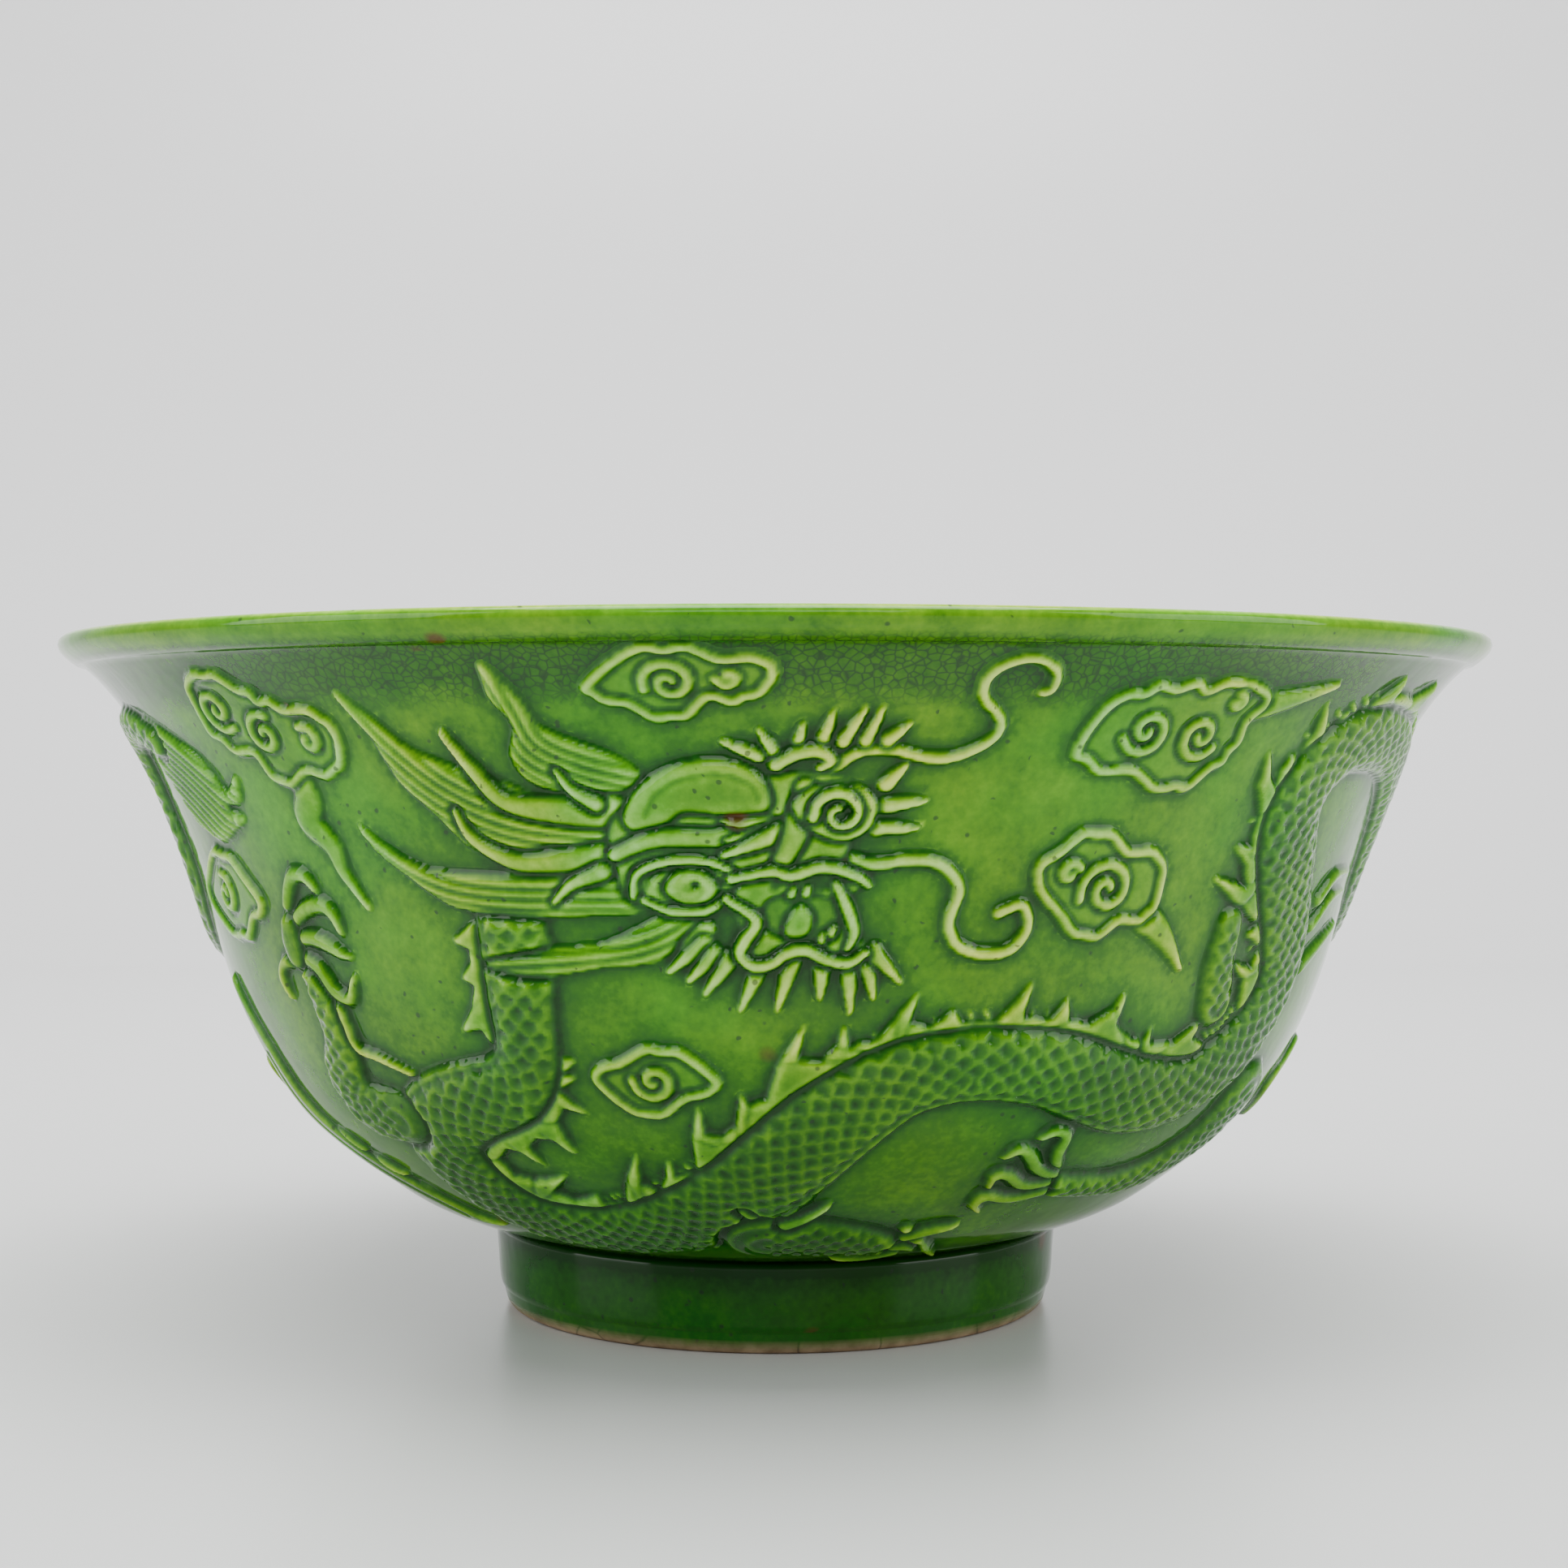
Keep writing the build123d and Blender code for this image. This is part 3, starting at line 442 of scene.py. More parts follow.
for claw in ([(32.6, 25.0), (31.0, 28.6), (30.8, 31.6), (29.2, 32.4), (27.8, 31.4)],
             [(32.4, 24.8), (29.4, 26.6), (27.4, 29.0), (25.8, 30.0), (24.4, 28.8)],
             [(32.2, 23.4), (28.8, 23.6), (26.2, 25.6), (24.4, 25.8), (24.6, 23.4)],
             [(32.6, 21.8), (28.4, 20.9), (24.8, 21.8), (24.2, 20.0), (25.7, 18.2)]):
    strand("right_hind_leg", claw, [1.8, 1.8, 1.8, 1.4, 0.6], 1.15)

BODY_RISE = 1.14        # how far the body's back stands above its edge
BELLY_FROM = 0.78       # share of the half width where the scales give way to belly plates
BELLY_LINE = 0.76       # share of it where a line parts the two
PLATE_PITCH = 2.6       # length of one belly plate


def body_band():
    """The scaled body with its banded belly, shared out among its named stretches."""
    window = Window(BODY_PLACES, 8.0)
    d, run, side, share = along(window, BODY_PLACES, 7 * len(BODY))
    half = width_at(share, BODY_WIDTHS, BODY_PLACES) / 2
    depth = half - d
    body = EDGE + BODY_RISE * dome(depth, half * 0.8)
    scales = scaled(run, side, 2.3, 0.36) * ease(depth)
    inner = -side / half
    belly = 0.30 * np.abs(np.sin(math.pi * run / PLATE_PITCH)) ** 0.5 - 0.12
    scales = np.where(inner > BELLY_FROM, belly * ease(depth / 0.6), scales)
    scales -= 0.30 * np.exp(-((inner - BELLY_LINE) / 0.07) ** 2)
    at = shares(BODY_PLACES)
    cuts = [0.0] + [np.interp(until, range(len(at)), at) for _, until in BODY_PARTS[:-1]] + [1.01]
    lay("coil", window, depth, body + scales)
    here = (window.rows, window.columns)
    for (name, _), low, high in zip(BODY_PARTS, cuts[:-1], cuts[1:]):
        if name not in names:
            names.append(name)
        mine = (depth > 0) & (share >= low) & (share < high)
        owner[here] = np.where(mine, names.index(name), owner[here])


body_band()

# The right foreleg lies over the body, from the haunch to claws beside the foot ring.
strand("right_foreleg", [(-3.6, 20.8), (-2.4, 19.2), (-0.6, 18.0), (0.2, 14.0)],
       [1.4, 1.5, 1.4, 0.8], 1.3)
scaly_band("right_foreleg", [(-1.0, 13.6), (4.0, 13.2), (10.0, 12.2), (16.6, 10.8)],
           [10.4, 9.4, 7.6, 4.4], 1.25, 2.0)
strand("right_foreleg", [(1.4, 17.4), (3.6, 18.8), (6.4, 21.2)], [2.2, 1.7, 0.5], 1.3)
for claw in ([(17.2, 14.9), (18.4, 13.4), (21.4, 9.9), (26.4, 4.9)],
             [(17.4, 13.2), (20.4, 14.4), (24.2, 15.3)],
             [(17.8, 8.8), (13.4, 6.8), (8.7, 6.2)],
             [(16.6, 10.6), (18.6, 10.4), (20.4, 9.2)]):
    strand("right_foreleg", claw, [1.6, 2.0, 1.8, 0.6], 1.15)

# ---- left foreleg and its claws
scaly_band("left_foreleg",
           [(-41.0, 33.0), (-45.6, 33.8), (-47.0, 37.6), (-45.6, 43.0), (-46.0, 48.0), (-47.2, 52.4)],
           [8.0, 9.0, 8.0, 5.2, 4.4, 3.6], 1.2, 2.0)
strand("left_foreleg", [(-44.4, 51.6), (-43.4, 46.0), (-42.8, 42.2), (-40.2, 41.2), (-36.4, 39.4)],
       [0.9, 1.1, 1.2, 1.2, 0.7], 1.25)
strand("left_foreleg", [(-48.4, 52.2), (-51.0, 51.8), (-52.2, 50.0), (-51.8, 47.4)],
       [1.8, 1.6, 1.2, 0.6], 1.1)
for claw in ([(-48.6, 56.6), (-47.4, 60.2), (-46.0, 62.2), (-44.2, 62.2), (-42.9, 60.2)],
             [(-48.0, 56.2), (-45.6, 58.2), (-42.8, 59.0), (-41.4, 57.8), (-40.9, 55.8)],
             [(-48.0, 54.8), (-45.0, 55.0), (-43.0, 54.4), (-41.6, 53.6), (-40.5, 53.0)],
             [(-47.6, 53.0), (-45.2, 51.6), (-43.6, 49.0), (-41.7, 48.2), (-40.7, 50.7)]):
    strand("left_foreleg", claw, [1.7, 1.9, 2.0, 1.5, 0.6], 1.15)
strand("left_foreleg", [(-48.5, 52.8), (-48.6, 54.6), (-48.5, 56.4)], [3.2, 4.0, 3.0], 1.3)

# ---- mane, horns and whiskers
hair("mane",
     [(-33.4, 84.4), (-30.6, 80.9), (-27.6, 77.0), (-22.0, 74.2), (-16.0, 71.0), (-12.6, 69.6),
      (-12.6, 66.2), (-18.0, 66.2), (-23.8, 65.4), (-27.1, 69.4), (-30.0, 73.6), (-31.4, 78.6)],
     [(-12.0, 67.5), (-20.0, 69.0), (-26.0, 72.5), (-30.0, 77.5), (-33.4, 84.4)], 1.2)
hair("mane",
     [(-20.0, 87.8), (-17.9, 83.3), (-16.6, 79.8), (-12.4, 77.1), (-9.8, 74.6), (-11.9, 72.4),
      (-16.4, 72.6), (-18.8, 74.0), (-19.7, 76.6), (-19.0, 80.0), (-20.2, 83.5)],
     [(-9.0, 73.0), (-14.0, 74.8), (-17.6, 77.6), (-18.8, 82.0), (-20.0, 87.8)], 1.2)
hair("mane",
     [(-35.8, 68.6), (-33.6, 66.5), (-29.8, 63.9), (-25.0, 63.3), (-19.0, 63.6), (-12.4, 63.4),
      (-9.8, 59.6), (-16.0, 58.7), (-22.0, 58.7), (-27.6, 59.5), (-31.4, 62.6), (-34.4, 65.5)],
     [(-10.0, 61.2), (-20.0, 61.2), (-27.0, 61.8), (-31.6, 64.2), (-35.8, 68.6)], 1.2)
hair("mane",
     [(-25.2, 53.2), (-20.0, 54.9), (-14.3, 55.8), (-10.8, 57.8), (-8.2, 59.3), (-4.2, 59.8),
      (-7.1, 57.0), (-9.6, 53.8), (-14.0, 53.2), (-20.0, 51.9)],
     [(-5.0, 59.0), (-10.0, 55.6), (-16.0, 54.4), (-25.2, 53.2)], 1.15)
for horn, widths in (
        ([(-24.9, 79.2), (-23.0, 75.0), (-20.8, 71.5), (-16.4, 70.4), (-12.2, 70.4)],
         [0.7, 1.6, 2.2, 3.0, 3.8]),
        ([(-16.2, 75.0), (-15.2, 72.9), (-13.4, 71.3)], [0.7, 1.4, 2.0]),
        ([(-25.3, 70.4), (-24.2, 67.3), (-20.8, 64.8), (-16.4, 65.0), (-12.0, 65.4)],
         [0.8, 1.7, 2.2, 2.7, 3.6]),
        ([(-17.9, 60.3), (-16.2, 62.3), (-13.6, 63.8)], [0.7, 1.4, 2.2])):
    strand("horns", horn, widths, 1.35)

UPPER_WHISKER = [(4.3, 75.2), (6.3, 77.1), (8.7, 77.3), (10.6, 76.5), (12.8, 76.3), (15.0, 77.5),
                 (16.3, 79.3), (16.1, 81.2), (14.7, 83.5), (14.7, 86.1), (16.1, 88.0), (17.8, 88.4),
                 (19.4, 86.9), (19.6, 84.6), (18.9, 83.9)]
LOWER_WHISKER = [(3.4, 68.1), (4.3, 66.2), (6.1, 65.1), (8.0, 64.5), (10.1, 64.9), (12.1, 64.9),
                 (13.9, 63.9), (15.0, 61.7), (14.5, 59.0), (14.5, 57.2), (15.6, 55.3), (18.0, 54.5),
                 (20.2, 55.1), (21.4, 57.5), (20.7, 59.8), (19.4, 59.4), (18.6, 58.9)]
strand("whiskers", UPPER_WHISKER, [1.5, 1.3, 1.2, 1.2, 1.1, 1.1, 0.9], 1.1)
strand("whiskers", LOWER_WHISKER, [1.5, 1.3, 1.3, 1.3, 1.3, 1.3, 1.1], 1.1)

# ---- head
BROW_BASE = [(-1.0, 76.6), (0.2, 76.8), (1.8, 77.4), (3.4, 77.8), (5.0, 78.2), (6.6, 78.4), (8.2, 78.4)]
BROW_TIPS = [(-3.8, 78.2), (-1.0, 79.4), (2.1, 80.2), (4.3, 81.7), (6.5, 82.0), (7.7, 82.0), (9.8, 80.2)]
spikes("beard_and_brows", BROW_BASE, BROW_TIPS, 1.6, 1.2)
spikes("beard_and_brows", [(8.4, 73.4), (8.4, 71.0), (7.8, 68.6)],
       [(9.9, 75.7), (11.7, 71.5), (11.1, 68.4)], 1.8, 1.2)
BEARD_BASE = [(-5.4, 57.4), (-5.6, 56.0), (-4.8, 54.8), (-3.4, 54.4), (-0.8, 54.2), (1.6, 54.4),
              (4.0, 54.0), (6.2, 53.8), (7.6, 54.2), (8.2, 55.0)]
BEARD_TIPS = [(-7.6, 55.3), (-8.8, 52.6), (-7.2, 51.6), (-5.8, 50.2), (-2.8, 48.5), (0.3, 48.5),
              (3.9, 49.6), (6.5, 48.1), (8.5, 49.6), (10.7, 51.5)]
spikes("beard_and_brows", BEARD_BASE, BEARD_TIPS, 2.0, 1.15)

# The face is a plain swelling, and its features are laid on it one by one.
pad("head",
    [(-12.6, 65.0), (-12.8, 68.0), (-11.4, 70.6), (-6.0, 73.0), (0.0, 74.4), (3.8, 74.6),
     (6.6, 72.6), (6.0, 67.2), (5.6, 64.4), (7.4, 62.6), (5.8, 60.4), (6.6, 57.2), (7.6, 55.2),
     (4.6, 53.6), (1.6, 54.8), (-1.6, 53.4), (-3.4, 55.2), (-2.6, 57.8), (-4.4, 60.0),
     (-8.0, 59.0), (-11.6, 60.6)], 0.95, edge=1.6)
pit((3.7, 62.4), 1.5, 0.8)
pit((0.2, 62.2), 0.9, 0.5)
pad("head", [(-0.4, 60.4), (1.4, 61.2), (3.6, 61.0), (5.0, 60.2), (5.2, 57.6), (4.2, 56.4),
                    (1.2, 56.6), (-0.8, 58.2)], 0.45, edge=0.4)
pad("head", [(0.8, 57.2), (1.4, 59.4), (2.4, 60.2), (3.2, 58.8), (2.8, 57.0), (1.6, 56.6)],
    1.05, edge=0.8)
for tooth in ((3.9, 56.3), (4.7, 57.0), (1.4, 61.2), (2.6, 61.4)):
    strand("head", [tooth, (tooth[0] + 0.2, tooth[1] + 0.7)], [0.9, 0.6], 1.25)
# forehead dome, with a groove inside its edge
pad("head",
    [(-11.5, 70.0), (-10.2, 73.0), (-8.0, 75.2), (-5.3, 76.2), (-2.7, 76.0), (-0.9, 74.5),
     (-0.1, 72.2), (-0.3, 70.7), (-1.6, 70.1), (-4.0, 70.0), (-6.6, 70.3), (-8.0, 69.2),
     (-9.7, 68.4), (-11.0, 68.4)], 1.45, edge=1.6)
groove([(-9.6, 70.2), (-8.6, 72.6), (-6.4, 74.4), (-3.6, 74.8), (-1.6, 73.6), (-1.0, 71.8)],
       0.6, 0.35)
# cheek and brow band over the eye
strand("head", [(-12.4, 65.6), (-9.7, 67.2), (-7.1, 67.6), (-3.8, 67.6), (-1.4, 68.6)],
       [1.6, 2.0, 2.2, 2.2, 1.4], 1.3)
for tip in ((-3.8, 69.4), (-3.6, 67.3), (-4.2, 65.4)):
    strand("head", [(1.2, 68.4), ((1.2 + tip[0]) / 2, (68.2 + tip[1]) / 2 + 0.2), tip],
           [2.4, 1.8, 0.5], 1.5)
# eye
pad("head",
    [(-11.5, 61.7), (-11.0, 64.0), (-9.3, 65.0), (-6.6, 65.4), (-4.5, 65.0), (-2.7, 63.2),
     (-4.5, 60.2), (-6.2, 59.4), (-8.8, 59.6), (-11.0, 60.2)], 1.15, edge=0.6)
strand("head", [(-11.2, 61.0), (-10.8, 63.4), (-9.0, 64.7), (-6.4, 65.1), (-4.2, 64.6), (-2.8, 63.2)],
       [0.7, 0.9, 1.0, 1.0, 0.9, 0.6], 1.45)
groove([(-10.4, 61.4), (-9.6, 63.2), (-7.8, 64.2), (-5.6, 64.0), (-4.0, 62.6)], 0.7, 0.55)
pad("head", [(-8.7, 62.2), (-7.7, 63.8), (-6.2, 64.2), (-4.8, 63.4), (-4.3, 62.0),
                    (-5.0, 60.6), (-6.6, 60.1), (-8.1, 60.9)], 1.6, edge=1.3)
groove(spiral((-6.4, 62.2), 1.2, 1.5, 1.0, 200.0), 0.42, 0.35)
pit((-6.1, 62.6), 0.62, 0.8)
strand("head", [(-10.4, 60.6), (-8.0, 59.4), (-5.2, 59.6), (-3.6, 61.2)], [0.8, 1.1, 1.1, 0.6], 1.25)
# nose: a ring-shaped scroll on a bridge
strand("head", [(0.4, 64.2), (1.4, 67.0), (2.2, 70.4), (2.4, 73.0)], [1.8, 2.6, 3.0, 2.2], 1.2)
pad("head", [(1.4, 71.5), (3.2, 73.3), (6.1, 73.3), (7.8, 71.5), (7.4, 68.6), (5.6, 67.2),
                    (3.6, 67.8), (2.0, 69.4)], 1.25, edge=0.8)
strand("head", spiral((5.0, 70.3), 1.35, 2.7, -1.0, 190.0), [1.3, 1.3, 1.2, 1.0, 0.7], 1.6)
pit((5.7, 70.4), 0.8, 0.9)
# lips: the upper one runs to a tip under the nose, the lower one is a long S
strand("head", [(-3.4, 63.0), (-0.1, 63.9), (1.4, 63.4), (3.9, 64.4), (6.5, 63.4), (7.6, 62.2)],
       [0.9, 1.3, 1.4, 1.5, 1.3, 0.6], 1.5)
strand("head", [(5.0, 62.4), (5.9, 59.8), (6.5, 57.2), (6.0, 55.4)], [1.0, 1.4, 1.2, 0.7], 1.4)
strand("head",
       [(-3.8, 60.9), (-1.4, 58.6), (-2.2, 56.4), (-2.7, 54.9), (-1.6, 53.6), (-0.1, 53.9),
        (1.0, 54.9), (2.6, 55.3), (4.3, 54.3), (6.1, 53.9), (7.6, 55.0)],
       [0.9, 1.3, 1.4, 1.4, 1.4, 1.4, 1.4, 1.4, 1.4, 1.3, 0.8], 1.5)
strand("head", [(0.2, 75.6), (1.6, 76.8), (3.2, 77.2), (4.2, 76.2), (3.4, 75.2)],
       [1.5, 1.6, 1.6, 1.3, 0.8], 1.35)


# ---- clouds
LOBE_RISE = 0.10        # how far a lobe swells, as a share of its chord
# The places of one lobe: the weights of its start, middle and end, and its share of the swelling.
LOBE_PLACES = (((1, 0, 0), -0.6), ((0.42, 0.58, 0), 1.0), ((0, 1, 0), 0.5), ((0, 0.58, 0.42), 1.0))


def scalloped(outline):
    """Round lobes round a clockwise outline, with every second place the middle of one."""
    lobes = []
    count = len(outline)
    for start in range(1, count, 2):
        ends = [outline[(start + k) % count] for k in range(3)]
        r = math.radians(1) * float(radius_at(ends[1][1]))
        chord = ((ends[2][0] - ends[0][0]) * r, ends[2][1] - ends[0][1])
        outward = (-chord[1] * LOBE_RISE / r, chord[0] * LOBE_RISE)
        for weights, rise in LOBE_PLACES:
            lobes.append(tuple(sum(w * end[axis] for w, end in zip(weights, ends))
                               + rise * outward[axis] for axis in (0, 1)))
    return lobes


def cloud(name, outline, scrolls, tail=None, tail_widths=None):
    """A low cushion inside a raised roll, with raised scrolls and a streaming tail."""
    if tail:
        strand(name, tail, tail_widths, 0.95)
    edge = scalloped(outline)
    pad(name, edge, 0.40, edge=0.5)
    strand(name, edge + [edge[0]], [1.2], 0.95)
    for place, radius, turns, way, start in scrolls:
        strand(name, spiral(place, turns, radius * 1.15, way, start), [1.2, 1.4, 1.3, 1.1], 1.0)


cloud("left_high_cloud",
      [(-51.4, 83.0), (-49.6, 85.8), (-46.0, 86.6), (-43.0, 85.4), (-41.6, 83.0), (-39.0, 82.6),
       (-35.8, 80.8), (-34.6, 78.0), (-36.4, 75.4), (-39.6, 74.4), (-42.8, 74.0), (-45.4, 76.6),
       (-48.6, 79.2)],
      [((-47.3, 82.6), 2.5, 1.4, -1, 300), ((-42.6, 79.3), 2.3, 1.3, 1, 60),
       ((-37.8, 78.6), 1.5, 1.1, -1, 120)],
      [(-41.4, 75.6), (-40.6, 71.6), (-41.4, 69.0), (-39.4, 66.0), (-38.8, 63.0), (-36.8, 58.8)],
      [4.0, 3.8, 4.2, 2.8, 1.8, 0.6])
cloud("top_cloud",
      [(-13.0, 86.2), (-10.8, 88.2), (-7.0, 88.9), (-3.4, 88.4), (-0.6, 87.4), (0.0, 85.4),
       (-2.0, 83.8), (-4.4, 83.0), (-7.2, 81.5), (-10.2, 82.4), (-12.2, 84.2)],
      [((-7.0, 85.3), 2.4, 1.5, -1, 200), ((-3.0, 86.0), 1.1, 0.9, 1, 200)])
cloud("right_high_cloud",
      [(22.0, 79.8), (24.0, 82.2), (27.2, 83.6), (29.6, 85.2), (32.4, 84.0), (36.2, 85.6),
       (38.6, 83.6), (38.0, 80.6), (36.9, 77.4), (35.8, 74.6), (32.8, 73.6), (28.0, 74.4),
       (24.2, 76.6)],
      [((28.4, 79.6), 2.5, 1.4, 1, 200), ((33.6, 79.0), 2.4, 1.4, -1, 330), ((35.8, 83.2), 1.0, 0.9, -1, 90)],
      [(37.0, 82.2), (41.4, 83.6), (46.4, 85.8)], [4.0, 2.8, 0.7])
cloud("right_middle_cloud",
      [(22.0, 63.4), (23.4, 66.2), (26.3, 67.2), (30.0, 65.8), (33.0, 64.4), (34.2, 61.4),
       (33.0, 58.8), (30.2, 57.4), (27.2, 56.7), (24.0, 58.6)],
      [((28.4, 61.4), 2.9, 1.5, -1, 200), ((24.6, 63.2), 1.2, 0.9, 1, 30)],
      [(31.4, 59.4), (35.2, 56.2), (38.5, 51.8)], [4.0, 2.8, 0.6])
cloud("low_cloud",
      [(-16.0, 40.6), (-13.6, 42.8), (-9.8, 43.3), (-6.4, 42.0), (-5.3, 40.0), (-8.2, 37.6),
       (-11.6, 36.3), (-15.0, 38.0)], [((-10.8, 40.2), 2.0, 1.3, 1, 180)])
cloud("side_cloud",
      [(113.2, 59.0), (115.4, 62.6), (121.4, 63.5), (125.6, 61.0), (126.9, 58.5), (124.6, 56.2),
       (121.0, 55.2), (115.4, 56.0)], [((119.6, 59.4), 2.2, 1.3, -1, 100)])
cloud("rear_high_cloud",
      [(80.6, 77.4), (83.4, 80.4), (87.6, 80.8), (91.6, 79.6), (94.6, 77.0), (92.4, 74.0),
       (88.4, 72.4), (84.0, 73.6)], [((88.6, 76.8), 2.2, 1.3, 1, 180)])
cloud("rear_low_cloud",
      [(72.6, 33.4), (75.6, 37.0), (80.6, 38.2), (86.6, 36.6), (92.0, 35.2), (99.0, 34.2),
       (94.0, 31.4), (86.0, 30.0), (80.6, 28.4), (75.4, 29.6)],
      [((79.6, 33.6), 2.4, 1.3, -1, 40)])
STREAMER = [(111.6, 48.0), (114.6, 39.0), (116.0, 31.0), (121.0, 24.0), (127.0, 18.6), (133.0, 13.6),
            (138.6, 12.0)]
for hook in ([(118.0, 28.0), (121.6, 27.4), (124.4, 25.4)], [(122.4, 23.4), (126.0, 23.2), (129.0, 21.6)],
             [(126.0, 19.6), (129.4, 19.0), (131.4, 17.2)]):
    strand("streamer_cloud", hook, [2.6, 1.8, 0.6], 1.0)
strand("streamer_cloud", STREAMER, [1.6, 4.2, 5.4, 5.2, 4.6, 3.2, 0.8], 0.75, flat=True)
groove(STREAMER[1:6], 0.7, 0.45)


# ---- a soft, fired surface
def blurred(field, columns_mm, rows_mm):
    """Gaussian blur in millimetres, round the bowl and up the wall."""
    row_step = WALL_LENGTH / (UP - 1)
    reach = int(math.ceil(3 * rows_mm / row_step))
    steps = np.arange(-reach, reach + 1)
    kernel = np.exp(-0.5 * (steps * row_step / rows_mm) ** 2)
    kernel /= kernel.sum()
    padded = np.pad(field, ((reach, reach), (0, 0)), mode="edge")
    mixed = sum(kernel[k] * padded[k:k + UP] for k in range(len(kernel)))
    waves = np.fft.rfft(mixed, axis=1)
    turn = np.arange(waves.shape[1])[None, :] * 2 * math.pi / ACROSS
    column_mm = row_radius[:, None] * math.radians(degree_step)
    return np.fft.irfft(waves * np.exp(-0.5 * (turn * columns_mm / column_mm) ** 2), n=ACROSS, axis=1)


BROAD = ("coil", "middle_body", "rear_body", "tail_base", "tail",
         "neck", "left_foreleg", "right_foreleg", "right_hind_leg",
         "left_hind_leg")
for _ in range(3):                    # each piece keeps a thin margin of the wall round it
    for axis, way in ((0, 1), (0, -1), (1, 1), (1, -1)):
        owner = np.where(owner == 0, np.roll(owner, way, axis=axis), owner)
fired = blurred(height, 0.2, 0.2)                              # firing softens every edge
glazed = fired + 0.25 * (blurred(fired, 0.7, 0.7) - fired)     # the glaze fills small hollows
# How thick the glaze lies: it runs off ridges and pools in hollows and under ledges.
near = blurred(fired, 0.6, 0.6) - fired
wide = blurred(fired, 2.2, 2.2) - fired
pool = np.where(near > 0, 1.2, 1.1) * near + np.where(wide > 0, 0.34, 0.07) * wide
broad = np.isin(owner, [names.index(n) for n in names if n in BROAD])
pool += np.where(broad, 0.14, 0.0) * ease(fired / 0.5)
glaze = np.clip(0.5 + pool, 0, 1)


def set_values(mesh, label, values):
    mesh.attributes.new(label, "FLOAT", "POINT").data.foreach_set("value", np.asarray(values, np.float32))


def mesh_object(label, points, faces, normals=None, values=None):
    mesh = bpy.data.meshes.new(label)
    mesh.from_pydata([tuple(p) for p in points], [], [tuple(f) for f in faces])
    mesh.polygons.foreach_set("use_smooth", [True] * len(mesh.polygons))
    if values is not None:
        set_values(mesh, "glaze", values)
    if normals is not None:
        mesh.normals_split_custom_set_from_vertices([tuple(n) for n in normals])
    mesh.update()
    made = bpy.data.objects.new(label, mesh)
    bpy.context.scene.collection.objects.link(made)
    return made


def on_wall(degrees, climb, lift):
    r, z, out_r, out_z = wall_frame(climb)
    angle = np.radians(degrees)
    reach = r + lift * out_r
    return np.stack([reach * np.sin(angle), -reach * np.cos(angle), z + lift * out_z], -1)


grid_degrees = FIRST_DEGREE + np.arange(ACROSS) * degree_step
surface = on_wall(grid_degrees[None, :], row_climb[:, None], glazed)
beyond = np.roll(surface, -1, axis=1)
before = np.roll(surface, 1, axis=1)
beyond[:, -1] = surface[:, 0] * [-1, -1, 1]      # the grid is a half turn, and repeats turned round
before[:, 0] = surface[:, -1] * [-1, -1, 1]
grid_normals = np.cross(beyond - before, np.gradient(surface, axis=0))
grid_normals /= np.linalg.norm(grid_normals, axis=-1, keepdims=True)

SKIRT = 0.45            # how deep a piece's edge is bedded into the wall
BURIED = 0.05           # how far its flat margin lies under the wall's surface
MARGIN_HEIGHT = 0.25    # a piece higher than this isn't margin
ROW_KEY = 4096          # more than the grid's columns, so a row and a column make one number
EDGE_KEY = 10 ** 7      # more than a piece's points, so two points make one number
FAR_SIDE = ("tail", "tail_tuft", "tail_base", "side_cloud",
            "rear_high_cloud", "rear_low_cloud", "streamer_cloud")


def relief_piece(order, name, turn):
    """One relief piece as its own mesh, its edge bedded in the wall."""
    number = names.index(name)
    beside = np.roll(owner, -1, axis=1)
    rank = np.stack([owner[:-1], beside[:-1], beside[1:], owner[1:]]).max(axis=0)
    rows, columns = np.nonzero(rank == number)
    wraps = (name in FAR_SIDE) & (columns < ACROSS // 3)     # it runs on over the grid's far edge
    along_columns = columns + np.where(wraps, ACROSS, 0)
    keys = np.stack([np.stack([rows + a, along_columns + b], 1)
                     for a, b in ((0, 0), (0, 1), (1, 1), (1, 0))], 1)
    flat = keys.reshape(-1, 2)
    unique, index = np.unique(flat[:, 0] * ROW_KEY + flat[:, 1], return_inverse=True)
    quads = index.reshape(-1, 4)
    v_row, v_column = unique // ROW_KEY, unique % ROW_KEY
    cell = (v_row, v_column % ACROSS)
    lift = glazed[cell] - BURIED * (1 - ease(glazed[cell] / MARGIN_HEIGHT))
    degrees = FIRST_DEGREE + v_column * degree_step + turn
    points = on_wall(degrees, row_climb[v_row], lift)
    angle = math.radians(turn) + np.where(v_column >= ACROSS, math.pi, 0.0)
    n = grid_normals[cell]
    normals = np.stack([n[:, 0] * np.cos(angle) - n[:, 1] * np.sin(angle),
                        n[:, 0] * np.sin(angle) + n[:, 1] * np.cos(angle), n[:, 2]], 1)
    edges = np.concatenate([quads[:, [k, (k + 1) % 4]] for k in range(4)])
    both = np.sort(edges, axis=1)
    _, first, times = np.unique(both[:, 0] * EDGE_KEY + both[:, 1], return_index=True,
                                return_counts=True)
    rim = edges[first[times == 1]]
    rim_points = np.unique(rim)
    deep = on_wall(degrees[rim_points], row_climb[v_row[rim_points]], np.full(len(rim_points), -SKIRT))
    below = {int(p): len(points) + k for k, p in enumerate(rim_points)}
    skirt = [(int(b), int(a), below[int(a)], below[int(b)]) for a, b in rim]
    faces = [tuple(int(i) for i in q) for q in quads] + skirt
    every_point = np.vstack([points, deep]) * MM
    every_normal = np.vstack([normals, normals[rim_points]])
    values = np.concatenate([glaze[cell], glaze[cell][rim_points]])
    return mesh_object(f"{order}_{name}_relief", every_point, faces, every_normal, values)


